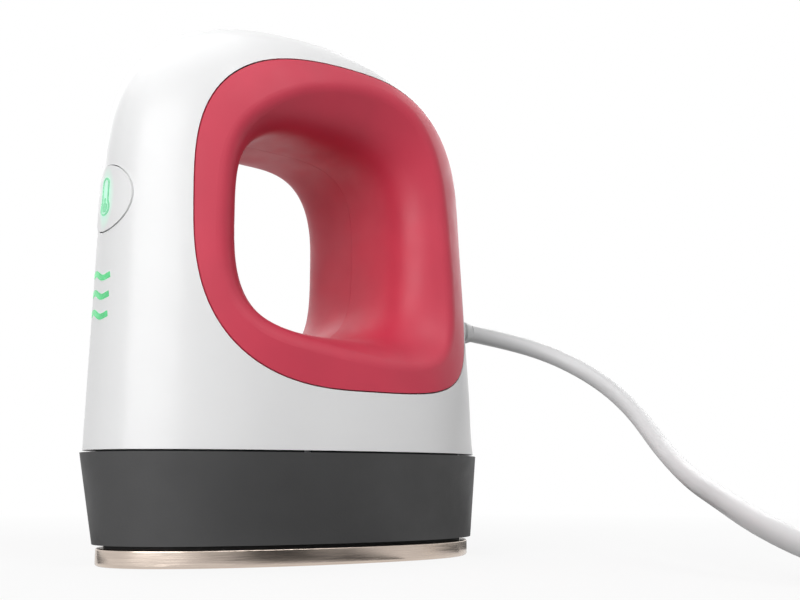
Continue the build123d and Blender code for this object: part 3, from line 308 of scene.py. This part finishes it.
# %% [markdown]
# ## Plug
# The plug is moulded in one with the cord: a ribbed neck, then a flat body with rounded edges and three
# finger ridges on each broad side. The body is a cube that is scaled, has its cord end drawn in and is then
# bevelled; the ridges are bevelled bars that stand a little proud of it. Its axes run across, up and along
# the tail. They have to be right-handed, or every shape made on them would come out inside out.

# %% Plug axes and body
plug_neck = 8.0
plug_body_length = 20.0
plug_width = 25.0
plug_height = 13.8                 # over the ridges
plug_edge = 2.6
plug_cord_end = (0.72, 0.86, 1.0)  # how far the cord end is drawn in
ridge_size = (15.0, 1.0, 1.3)
ridge_rise = 0.3
ridge_pitch = 3.2
ridge_middle = 11.5                # from the neck

plug_across = Vector((-math.cos(tail), -math.sin(tail), 0))
plug_turn = Matrix((plug_across, Vector((0, 0, 1)), tail_way)).transposed()
plug_frame = Matrix.Translation(tail_end * MM) @ plug_turn.to_4x4()

plug_shape = bmesh.new()
body_size = (plug_width, plug_height - 2 * ridge_rise, plug_body_length)
body_verts = block(plug_shape, plug_frame, (0, 0, plug_neck + plug_body_length / 2), body_size)
inward = plug_frame.inverted()
cord_end = [vert for vert in body_verts if (inward @ vert.co).z < (plug_neck + 1) * MM]
bmesh.ops.scale(plug_shape, vec=plug_cord_end, space=inward, verts=cord_end)
soften(plug_shape, list(plug_shape.edges), plug_edge, segments=5)
ridge_place = (plug_height - ridge_size[1]) / 2
for side in (-1, 1):
    for ridge in (-1, 0, 1):
        along = plug_neck + ridge_middle + ridge * ridge_pitch
        soft_block(plug_shape, plug_frame, (0, side * ridge_place, along), ridge_size, width=0.4, segments=3)
print("plug handedness", round(plug_turn.determinant()))

# %% Plug neck
neck_rings = 3
neck_ring_pitch = 2.2
neck_first_ring = 0.9              # from the tail's end
neck_ring_radius = 3.1             # of the first ring
neck_ring_growth = 0.75            # from one ring to the next
neck_root_radius = 5.2
neck_ring_profile = [(0.0, -0.15), (0.25, 0.0), (1.2, 0.3), (1.3, -0.4), (1.9, -0.35)]

neck_stations = [(0.0, sleeve_mouth_radius), (0.3, sleeve_mouth_radius + 0.35)]
for ring in range(neck_rings):
    start = neck_first_ring + ring * neck_ring_pitch
    outer = neck_ring_radius + ring * neck_ring_growth
    neck_stations += [(start + along, outer + out) for along, out in neck_ring_profile]
neck_stations += [(plug_neck - 0.2, neck_root_radius), (plug_neck + 0.8, neck_root_radius + 0.3)]


def neck_frame(distance):
    """The plug's axes, moved along its neck."""
    return plug_frame @ Matrix.Translation((0, 0, distance * MM))


grow_sleeve(plug_shape, neck_stations, neck_frame)
plug_shell = put_in_place("plug_shell", plug_shape, "cord_boot", "plug_body")

# %% [markdown]
# ## Plug blades
# Two flat brass blades with softened edges, each with a hole near its tip. A blade is a bevelled bar, and
# its hole is cut by a Boolean modifier. The modifier's result is then taken as the mesh, so that no cutter
# is left in the scene.

# %% Blades and their cutter
blade_spacing = 12.7
blade_size = (1.5, 6.35, 16.0)
blade_sink = 0.01                  # into the plug's body
hole_radius = 1.6
hole_place = 4.2                   # from the blade's middle towards its tip
cutter_length = 4.0

blade_shape = bmesh.new()
cutter_shape = bmesh.new()
blade_middle = plug_neck + plug_body_length + blade_size[2] / 2 - blade_sink
for side in (-1, 1):
    aside = side * blade_spacing / 2
    soft_block(blade_shape, plug_frame, (aside, 0, blade_middle), blade_size, width=0.45, segments=2)
    hole = plug_frame @ Matrix.Translation(Vector((aside, 0, blade_middle + hole_place)) * MM)
    bmesh.ops.create_cone(cutter_shape, cap_ends=True, segments=32, radius1=hole_radius * MM,
                          radius2=hole_radius * MM, depth=cutter_length * MM,
                          matrix=hole @ Matrix.Rotation(math.pi / 2, 4, "Y"))
print("blades", len(blade_shape.faces), "faces before the holes")

# %% Cut the holes


def loose_object(name, shape):
    """Puts a bmesh into the scene as an object that is needed only for a while."""
    mesh = bpy.data.meshes.new(name)
    shape.to_mesh(mesh)
    shape.free()
    item = bpy.data.objects.new(name, mesh)
    bpy.context.scene.collection.objects.link(item)
    return item


whole = loose_object("whole_blades", blade_shape)
cutter = loose_object("blade_cutter", cutter_shape)
cut = whole.modifiers.new("holes", "BOOLEAN")
cut.object = cutter
cut.solver = "EXACT"
cut_mesh = bpy.data.meshes.new_from_object(whole.evaluated_get(bpy.context.evaluated_depsgraph_get()))
drilled = bmesh.new()
drilled.from_mesh(cut_mesh)
bpy.data.objects.remove(cutter)
bpy.data.objects.remove(whole)
plug_prongs = put_in_place("plug_prongs", drilled, "blade_brass", "plug_blades")

# %% [markdown]
# ## Coil tie
# A hook-and-loop strap holds the coil: a band that goes round the bundle of turns, with its free end lapped
# over the top. The band starts as a cube with its two ends taken off, its corners are bevelled, and the
# wall is given its thickness by solidify. The lapped end is a thin bevelled bar.

# %% Coil tie
tie_angle = math.radians(215.0)
tie_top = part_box("coil_tie")[1].z / MM
tie_width = 7.6
tie_outer = coil_turn_radius
tie_inner = 14.0
tie_corner = 1.6
strap_thickness = 0.7
lap_size = (13.0, 6.8, strap_thickness)
lap_from_end = 9.5                 # to the lap's middle, from the band's outer end
lap_rise = 0.1                     # of the lap's middle over the band's top

tie_frame = Matrix.Translation(Vector((*coil_centre, 0)) * MM) @ Matrix.Rotation(tie_angle, 4, "Z")
tie_shape = bmesh.new()
block(tie_shape, tie_frame, ((tie_outer + tie_inner) / 2, 0, tie_top / 2),
      (tie_outer - tie_inner, tie_width, tie_top))
to_tie = tie_frame.inverted().to_3x3()
ends = [face for face in tie_shape.faces if abs((to_tie @ face.normal).y) > 0.9]
bmesh.ops.delete(tie_shape, geom=ends, context="FACES_ONLY")
corners = [edge for edge in tie_shape.edges if len(edge.link_faces) == 2]
soften(tie_shape, corners, tie_corner, segments=5)
bmesh.ops.recalc_face_normals(tie_shape, faces=tie_shape.faces)
bmesh.ops.solidify(tie_shape, geom=list(tie_shape.faces), thickness=strap_thickness * MM)
lap_place = (tie_outer - lap_from_end, 0, tie_top + lap_rise)
soft_block(tie_shape, tie_frame, lap_place, lap_size, width=0.25, segments=2)
cord_tie = put_in_place("cord_tie", tie_shape, "tie_black", "coil_tie")
print("tie top", round(tie_top, 2), "mm")

# %% [markdown]
# ## Cord size
# A cord's shape alone doesn't say how it behaves; this cell only prints the cord's diameter.

print("cord declared, diameter", 2 * cord_radius, "mm")

# %% [markdown]
# ## Node helpers
# A material is a small network of nodes, and the same few groups of nodes come back in all of them: a fresh
# material, a value stretched to another range, two colours or shaders mixed, a sum on two values and a
# vector's length. Each becomes a helper, so that the finishes themselves stay short.

# %% Node helpers


def new_material(name):
    """Node material with a Principled shader; gives the material, its tree and the shader."""
    material = bpy.data.materials.new(name)
    material.use_nodes = True
    tree = material.node_tree
    return material, tree, tree.nodes["Principled BSDF"]


def spread(tree, pattern, low, high, begin=0.32, end=0.68):
    """Stretches a pattern so that it runs from low to high; noise lies mostly between 0.32 and 0.68."""
    node = tree.nodes.new("ShaderNodeMapRange")
    for socket, value in (("From Min", begin), ("From Max", end), ("To Min", low), ("To Max", high)):
        node.inputs[socket].default_value = value
    tree.links.new(pattern, node.inputs["Value"])
    return node.outputs["Result"]


def tint(tree, pattern, first, second):
    """Mixes two colours by a pattern."""
    node = tree.nodes.new("ShaderNodeMix")
    node.data_type = "RGBA"
    node.inputs["A"].default_value = (*first, 1)
    node.inputs["B"].default_value = (*second, 1)
    tree.links.new(pattern, node.inputs["Factor"])
    return node.outputs["Result"]


def combine(tree, operation, first, second):
    """Math on two values."""
    node = tree.nodes.new("ShaderNodeMath")
    node.operation = operation
    tree.links.new(first, node.inputs[0])
    tree.links.new(second, node.inputs[1])
    return node.outputs["Value"]


def length_of(tree, vector):
    """Length of a vector."""
    node = tree.nodes.new("ShaderNodeVectorMath")
    node.operation = "LENGTH"
    tree.links.new(vector, node.inputs[0])
    return node.outputs["Value"]


def mix_shaders(tree, factor, first, second, output):
    """Mixes two shaders by a factor and sends the result to an output node."""
    node = tree.nodes.new("ShaderNodeMixShader")
    tree.links.new(factor, node.inputs["Fac"])
    tree.links.new(first, node.inputs[1])
    tree.links.new(second, node.inputs[2])
    tree.links.new(node.outputs["Shader"], tree.nodes[output].inputs["Surface"])


print("node helpers are ready")

# %% [markdown]
# ## Room
# White plastic shows its room, so the room is plain and pale. For the camera, in gloss and through glass,
# the world is pure white, while its even glow on the press is much weaker. Mixing two backgrounds by the
# kind of ray does that, where one bright world would wash the press out.

# %% World
room_glow = 0.10
backdrop_strength = 1.0
white_light = (1, 1, 1, 1)


def sees_backdrop(tree):
    """1 for rays that should meet the plain white background: from the camera, in gloss and through glass."""
    path = tree.nodes.new("ShaderNodeLightPath")
    seen = combine(tree, "MAXIMUM", path.outputs["Is Camera Ray"], path.outputs["Is Glossy Ray"])
    return combine(tree, "MAXIMUM", seen, path.outputs["Is Transmission Ray"])


world = bpy.data.worlds.new("room")
bpy.context.scene.world = world
world.use_nodes = True
room = world.node_tree
glow = room.nodes["Background"]
glow.inputs["Color"].default_value = white_light
glow.inputs["Strength"].default_value = room_glow
backdrop = room.nodes.new("ShaderNodeBackground")
backdrop.inputs["Color"].default_value = white_light
backdrop.inputs["Strength"].default_value = backdrop_strength
mix_shaders(room, sees_backdrop(room), glow.outputs["Background"], backdrop.outputs["Background"],
            "World Output")
print("room glow", room_glow)

# %% [markdown]
# ## Floor
# The floor mixes a real matte surface, which keeps the contact shadow, with the same pure white as the
# room, and the white takes over with distance, so that no edge shows where floor and background meet. The
# light that it throws back up is held down, as by a grey table, or the underside of the hand opening would
# look washed out.

# %% Floor
floor_half_width = 4.0             # metres
floor_seen = (0.90, 0.90, 0.90)    # what the camera meets
floor_bounce = (0.30, 0.30, 0.30)  # what the light meets
fade_start, fade_end = 0.10, 0.35  # metres from the origin
least_white, most_white = 0.85, 1.0
matte = 0.9

floor_mesh = bpy.data.meshes.new("floor")
floor_shape = bmesh.new()
bmesh.ops.create_grid(floor_shape, x_segments=1, y_segments=1, size=floor_half_width)
floor_shape.to_mesh(floor_mesh)
floor_shape.free()
floor = bpy.data.objects.new("floor", floor_mesh)
bpy.context.scene.collection.objects.link(floor)

floor_material, tree, shader = new_material("floor_white")
path = tree.nodes.new("ShaderNodeLightPath")
paint = tint(tree, path.outputs["Is Camera Ray"], floor_bounce, floor_seen)
tree.links.new(paint, shader.inputs["Base Color"])
shader.inputs["Roughness"].default_value = matte
shader.inputs["Specular IOR Level"].default_value = 0.0
plain = tree.nodes.new("ShaderNodeEmission")
plain.inputs["Strength"].default_value = backdrop_strength
where = tree.nodes.new("ShaderNodeTexCoord")
distance = length_of(tree, where.outputs["Object"])
whitening = spread(tree, distance, least_white, most_white, fade_start, fade_end)
mix_shaders(tree, combine(tree, "MULTIPLY", sees_backdrop(tree), whitening), shader.outputs["BSDF"],
            plain.outputs["Emission"], "Material Output")
floor_mesh.materials.append(floor_material)
print("floor", 2 * floor_half_width, "m wide")

# %% [markdown]
# ## Lights
# Five large soft boxes: one above, one before the nose and a little to its +X side, and weaker ones high on
# the +X side, behind and on the -X side. Large lamps close by give broad highlights and soft shadows, as in
# a light tent, where small or far ones would draw hard spots on the gloss.

# %% Lights
press_middle = (0, 0, 0.055)


def soft_box(name, place, target, size, power):
    """Large area light that looks at a target."""
    data = bpy.data.lights.new(name, "AREA")
    data.shape = "RECTANGLE"
    data.size, data.size_y = size
    data.energy = power
    lamp = bpy.data.objects.new(name, data)
    lamp.location = place
    lamp.rotation_euler = (Vector(target) - Vector(place)).to_track_quat("-Z", "Y").to_euler()
    bpy.context.scene.collection.objects.link(lamp)
    print(name, power, "W")


soft_box("light_above", (-0.10, -0.25, 0.75), press_middle, size=(0.8, 0.8), power=2.0)
soft_box("light_nose", (0.36, -0.65, 0.28), press_middle, size=(0.6, 0.5), power=3.75)
soft_box("light_side", (0.64, 0.02, 0.60), press_middle, size=(0.5, 0.4), power=1.8)
soft_box("light_behind", (-0.25, 0.68, 0.45), press_middle, size=(0.5, 0.5), power=1.6)
soft_box("light_left", (-0.70, 0.05, 0.45), press_middle, size=(0.5, 0.4), power=1.0)

# %% [markdown]
# ## Dark cards
# A curved metal edge needs something dark to mirror before it looks like metal. A dark card lies on the
# floor beside the plate and stands up at its far edge, two more lie behind the plate and one off the tip of
# its nose. They are seen in reflections only: they hide nothing and cast no shadow.

# %% Dark cards
card_corners = (                   # the lowest and the highest corner of each card
    ((25.5, -40.0), (120.0, 12.0)),
    ((21.0, 36.0), (45.0, 120.0)),
    ((-15.0, 46.0), (21.0, 120.0)),
    ((-70.0, -50.0), (-5.0, -41.2)),
)
card_lift = 0.4                    # above the floor
card_height = 60.0                 # of the part that stands up
card_black = 0.02

card_shape = bmesh.new()
for low, high in card_corners:
    middle = (Vector(low) + Vector(high)) / 2 * MM
    width, depth = (Vector(high) - Vector(low)) * MM
    fitted = Matrix.Translation((*middle, card_lift * MM)) @ Matrix.Diagonal((width, depth, 1, 1))
    bmesh.ops.create_grid(card_shape, x_segments=1, y_segments=1, size=0.5, matrix=fitted)
far_edge = max(card_shape.edges, key=lambda edge: sum(vert.co.x for vert in edge.verts))
grown = bmesh.ops.extrude_edge_only(card_shape, edges=[far_edge])["geom"]
risen = [item for item in grown if isinstance(item, bmesh.types.BMVert)]
bmesh.ops.translate(card_shape, vec=(0, 0, card_height * MM), verts=risen)
card_mesh = bpy.data.meshes.new("dark_card")
card_shape.to_mesh(card_mesh)
card_shape.free()
card_material, _, shader = new_material("card_dark")
shader.inputs["Base Color"].default_value = (card_black, card_black, card_black, 1)
shader.inputs["Roughness"].default_value = matte
card_mesh.materials.append(card_material)
dark_card = bpy.data.objects.new("dark_card", card_mesh)
bpy.context.scene.collection.objects.link(dark_card)
dark_card.visible_camera = False
dark_card.visible_diffuse = False
dark_card.visible_shadow = False
print("dark cards", len(card_corners))

# %% [markdown]
# ## Patterns for the finishes
# No surface is one flat colour. Moulded plastic has a fine grain and slow changes of gloss, metal has
# streaks, and a rubbery coat has both grain and bloom. All of them are noise, read from each piece's own
# coordinates in metres, so that a grain keeps its true size on every piece. An image would need unwrapping
# and would blur from near. These helpers build what plastics and metals have in common.

# %% Pattern helpers
finishes = {}


def noise(tree, size, detail=2.0, stretch=(1, 1, 1)):
    """Noise whose patches are about size millimetres, longer along an axis with a small stretch."""
    coordinates = tree.nodes.new("ShaderNodeTexCoord")
    mapping = tree.nodes.new("ShaderNodeMapping")
    mapping.inputs["Scale"].default_value = stretch
    texture = tree.nodes.new("ShaderNodeTexNoise")
    texture.inputs["Scale"].default_value = 1 / MM / size
    texture.inputs["Detail"].default_value = detail
    tree.links.new(coordinates.outputs["Object"], mapping.inputs["Vector"])
    tree.links.new(mapping.outputs["Vector"], texture.inputs["Vector"])
    return texture.outputs["Fac"]


def relief(tree, shader, pattern, depth):
    """Bump of depth millimetres from a pattern."""
    node = tree.nodes.new("ShaderNodeBump")
    node.inputs["Strength"].default_value = 1.0
    node.inputs["Distance"].default_value = depth * MM
    tree.links.new(pattern, node.inputs["Height"])
    tree.links.new(node.outputs["Normal"], shader.inputs["Normal"])


def shades(colour, down, up):
    """A darker and a paler shade of a colour, by the given shares."""
    darker = tuple(channel * (1 - down) for channel in colour)
    paler = tuple(min(1.0, channel * (1 + up)) for channel in colour)
    return darker, paler


print("pattern helpers are ready")

# %% Plastic and metal
drift_size = 14.0                  # slow changes of colour, in millimetres
haze_size = 5.0                    # patches that are glossier or duller
streak_size = 0.25
streak_darker, streak_paler = 0.07, 0.06


def moulded(slot, colour, shade, gloss, grain, depth):
    """Moulded plastic: colour drifts by a share, gloss by its own range, and the grain gives the relief."""
    material, tree, shader = new_material(slot)
    drift = spread(tree, noise(tree, drift_size), 0, 1)
    tree.links.new(tint(tree, drift, *shades(colour, shade, shade)), shader.inputs["Base Color"])
    tree.links.new(spread(tree, noise(tree, haze_size, detail=4.0), *gloss), shader.inputs["Roughness"])
    relief(tree, shader, noise(tree, grain, detail=3.0), depth)
    finishes[slot] = material
    return tree, shader


def worked_metal(slot, colour, gloss, streak, depth):
    """Metal with fine streaks: streak stretches the noise, and the gloss changes along it."""
    material, tree, shader = new_material(slot)
    lines = noise(tree, streak_size, detail=3.0, stretch=streak)
    bright = spread(tree, lines, 0, 1)
    tones = shades(colour, streak_darker, streak_paler)
    tree.links.new(tint(tree, bright, *tones), shader.inputs["Base Color"])
    shader.inputs["Metallic"].default_value = 1.0
    tree.links.new(spread(tree, lines, *gloss), shader.inputs["Roughness"])
    relief(tree, shader, lines, depth)
    finishes[slot] = material


print("patches", drift_size, haze_size, streak_size, "mm")

# %% [markdown]
# ## Housing
# The housing is polished white plastic. Its gloss is a clear coat over a slightly softer surface, and its
# relief is only the faint waviness that any polished moulding has. One sharp gloss alone would show the
# lamps as hard white shapes, so both layers are a little broad.

# %% Housing
white = (0.89, 0.892, 0.895)
_, shader = moulded("shell_white", white, shade=0.006, gloss=(0.32, 0.40), grain=2.5, depth=0.002)
shader.inputs["Coat Weight"].default_value = 0.3
shader.inputs["Coat Roughness"].default_value = 0.2
print("housing white", white)

# %% [markdown]
# ## Button
# The button is the same plastic, lit from behind by its lamp, so a pale green glow surrounds the printed
# thermometer and fades within three millimetres to its sides. The glow is a distance from the middle of the
# sign, measured with its height counted for less, because the sign is taller than it is wide. The glow is
# painted into the plastic's own colour, which turns pale green round the sign, and it also adds a little
# light of its own.

# %% Button
button_low, button_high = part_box("temperature_button")
sign_height = (button_low.z + button_high.z) / 2
flattening = 0.42
glow_inner, glow_outer = 0.8 * MM, 2.7 * MM
painted_glow_colour = (0.62, 0.95, 0.78, 1)
painted_glow_share = 0.75
glow_colour = (0.05, 0.24, 0.14)

tree, shader = moulded("button_white", white, shade=0.006, gloss=(0.34, 0.42), grain=2.5, depth=0.002)
where = tree.nodes.new("ShaderNodeTexCoord")
centred = tree.nodes.new("ShaderNodeMapping")
centred.inputs["Location"].default_value = (0, 0, -sign_height * flattening)
centred.inputs["Scale"].default_value = (1, 0, flattening)
tree.links.new(where.outputs["Object"], centred.inputs["Vector"])
away = length_of(tree, centred.outputs["Vector"])
halo = spread(tree, away, 1.0, 0.0, glow_inner, glow_outer)
# Painted glow: the button's base colour is mixed towards pale green round the sign, as if lit from behind.
painted_glow = tree.nodes.new("ShaderNodeMix")
painted_glow.data_type = "RGBA"
painted_glow.inputs["B"].default_value = painted_glow_colour
tree.links.new(spread(tree, halo, 0.0, painted_glow_share, 0.0, 1.0), painted_glow.inputs["Factor"])
tree.links.new(shader.inputs["Base Color"].links[0].from_socket, painted_glow.inputs["A"])
tree.links.new(painted_glow.outputs["Result"], shader.inputs["Base Color"])
tree.links.new(tint(tree, halo, (0, 0, 0), glow_colour), shader.inputs["Emission Color"])
shader.inputs["Emission Strength"].default_value = 1.0
print("sign at", round(sign_height / MM, 2), "mm")

# %% [markdown]
# ## Grip
# The grip is coloured plastic under a soft-touch coat. The coat scatters light into broad, dull highlights
# and looks paler where it is seen at a slant, which is what the sheen lobe does; a fine grain keeps it from
# looking wet.

# %% Grip
grip_colour = (0.64, 0.044, 0.086)
_, shader = moulded("grip_red", grip_colour, shade=0.05, gloss=(0.44, 0.52), grain=0.3, depth=0.006)
shader.inputs["Sheen Weight"].default_value = 0.12
shader.inputs["Sheen Roughness"].default_value = 0.3
shader.inputs["Sheen Tint"].default_value = (1.0, 0.75, 0.78, 1)
print("grip colour", grip_colour)

# %% [markdown]
# ## Skirt and spacer
# The skirt stands close to the heat and must stay cool to the touch, so it is glass-filled plastic, and its
# spark-eroded texture is fine, even and matte. A grain of just under half a millimetre, with finer grain
# inside it, gives that texture without a visible repeat. The spacer is dull black rubber in the gap between
# skirt and plate.

# %% Skirt and spacer
skirt_grain = 0.45
moulded("skirt_plastic", (0.053, 0.053, 0.054), shade=0.05, gloss=(0.50, 0.62), grain=skirt_grain, depth=0.02)
moulded("spacer_rubber", (0.012, 0.012, 0.012), shade=0.1, gloss=(0.7, 0.8), grain=0.5, depth=0.01)
print("grain", skirt_grain, "mm on the skirt")

# %% [markdown]
# ## Heated plate
# The plate is cast aluminium with a warm, satin, champagne-coloured coating. The cutter that shapes its rim
# leaves streaks that run round it: noise that is squeezed along Z and long in the other directions gives
# them.

# %% Heated plate
plate_colour = (0.65, 0.55, 0.475)
worked_metal("plate_metal", plate_colour, gloss=(0.17, 0.25), streak=(0.04, 0.04, 1.0), depth=0.002)
print("plate colour", plate_colour)

# %% [markdown]
# ## Level lights and icon
# The three waves are clear green plastic, lit by the lamps behind the nose, and the sign is printed in
# clear green ink that the button's lamp shines through. Both give light of their own, at a level where the
# colour stays as written, a little uneven as any lit plastic.

# %% Level lights and icon
lit_body = ((0.02, 0.08, 0.035), (0.03, 0.10, 0.05))
lit_finishes = (                   # slot, colour, unevenness and size of its patches
    ("light_green", (0.082, 0.54, 0.205), 0.10, 1.4),
    ("icon_green", (0.19, 0.60, 0.34), 0.08, 1.0),
    ("led_green", (0.5, 0.9, 0.62), 0.08, 1.0),
)


def lit_plastic(slot, colour, unevenness, size):
    """Plastic that is lit from behind: emission in the colour, over a dark glossy body."""
    material, tree, shader = new_material(slot)
    pattern = spread(tree, noise(tree, size, detail=1.0), 0, 1)
    uneven = tint(tree, pattern, *shades(colour, unevenness, unevenness))
    tree.links.new(uneven, shader.inputs["Emission Color"])
    shader.inputs["Emission Strength"].default_value = 1.0
    tree.links.new(tint(tree, pattern, *lit_body), shader.inputs["Base Color"])
    tree.links.new(spread(tree, noise(tree, 1.0), 0.2, 0.3), shader.inputs["Roughness"])
    finishes[slot] = material


for slot, colour, unevenness, size in lit_finishes:
    lit_plastic(slot, colour, unevenness, size)
print("lit finishes", len(lit_finishes))

# %% [markdown]
# ## Cord, boot, plug and tie
# The cord's jacket is pale grey PVC with a satin skin. Boot and plug are the same stuff, moulded, with a
# finer but deeper grain. The tie is napped nylon: a strong fine grain that is nearly without gloss, and a
# sheen for the loose fibres. The blades are brass with fine streaks.

# %% Cord, boot, plug and tie
cord_colour = (0.74, 0.74, 0.745)
moulded("cord_pale", cord_colour, shade=0.02, gloss=(0.36, 0.46), grain=0.8, depth=0.004)
moulded("cord_boot", cord_colour, shade=0.02, gloss=(0.42, 0.52), grain=0.5, depth=0.01)
_, shader = moulded("tie_black", (0.03, 0.03, 0.032), shade=0.2, gloss=(0.75, 0.9), grain=0.4, depth=0.05)
shader.inputs["Sheen Weight"].default_value = 0.4
worked_metal("blade_brass", (0.83, 0.66, 0.36), gloss=(0.16, 0.28), streak=(1, 1, 0.08), depth=0.001)
print("cord colour", cord_colour)

# %% [markdown]
# ## Inner pieces
# The boards, wires and brackets inside are seen only when the press is taken apart or looked into, but each
# still gets its own finish: steel, mica, ceramic, lacquered boards and moulded parts in their usual
# colours. The record already names a colour for each, so the table gives only gloss, grain and relief.

# %% Inner pieces
colours = {row["slot"]: tuple(row["base_color"][:3]) for row in frame["record"]["materials"]}
for slot in ("element_steel", "sheet_metal", "screw_steel"):
    worked_metal(slot, colours[slot], gloss=(0.25, 0.4), streak=(1, 0.1, 1), depth=0.002)
for slot, gloss, grain, depth in (
        ("mica", (0.4, 0.6), 2.0, 0.02),
        ("ceramic_sensor", (0.5, 0.7), 0.3, 0.01),
        ("collar_ceramic", (0.5, 0.7), 0.3, 0.01),
        ("chassis_plastic", (0.5, 0.6), 0.5, 0.02),
        ("switch_black", (0.4, 0.5), 0.5, 0.01),
        ("board_green", (0.25, 0.35), 0.8, 0.02),
        ("ribbon_grey", (0.4, 0.5), 0.6, 0.02),
        ("transformer_yellow", (0.3, 0.4), 1.2, 0.03),
        ("relay_blue", (0.3, 0.4), 0.6, 0.01),
        ("capacitor_black", (0.25, 0.35), 1.0, 0.01),
        ("terminal_green", (0.4, 0.5), 0.6, 0.01),
        ("lead_black", (0.35, 0.45), 0.6, 0.01),
        ("lead_white", (0.35, 0.45), 0.6, 0.01),
        ("lead_yellow", (0.35, 0.45), 0.6, 0.01)):
    moulded(slot, colours[slot], shade=0.06, gloss=gloss, grain=grain, depth=depth)
for slot, gloss in (("guide_clear", (0.05, 0.12)), ("fuse_glass", (0.03, 0.08))):
    _, shader = moulded(slot, colours[slot], shade=0.06, gloss=gloss, grain=2.0, depth=0.002)
    shader.inputs["Transmission Weight"].default_value = 0.9
    shader.inputs["IOR"].default_value = 1.49
print("finishes", len(finishes))

# %% [markdown]
# ## Put the finishes on
# Each new piece gets the finish of its slot, and each CAD node the finish that its row in the record names.
# The CAD meshes themselves stay as they are.

# %% Put the finishes on
for piece, slot in ((mains_cord, "cord_pale"), (flex_boot, "cord_boot"), (plug_shell, "cord_boot"),
                    (plug_prongs, "blade_brass"), (cord_tie, "tie_black")):
    piece.data.materials.clear()
    piece.data.materials.append(finishes[slot])
for part in frame["record"]["subparts"]:
    data = nodes[part["node"]].data
    data.materials.clear()
    data.materials.append(finishes[part["material_slot"]])

# %% [markdown]
# ## Last step
# The plain Standard view keeps colours as they are written.

# %% Finish
bpy.context.scene.view_settings.view_transform = "Standard"
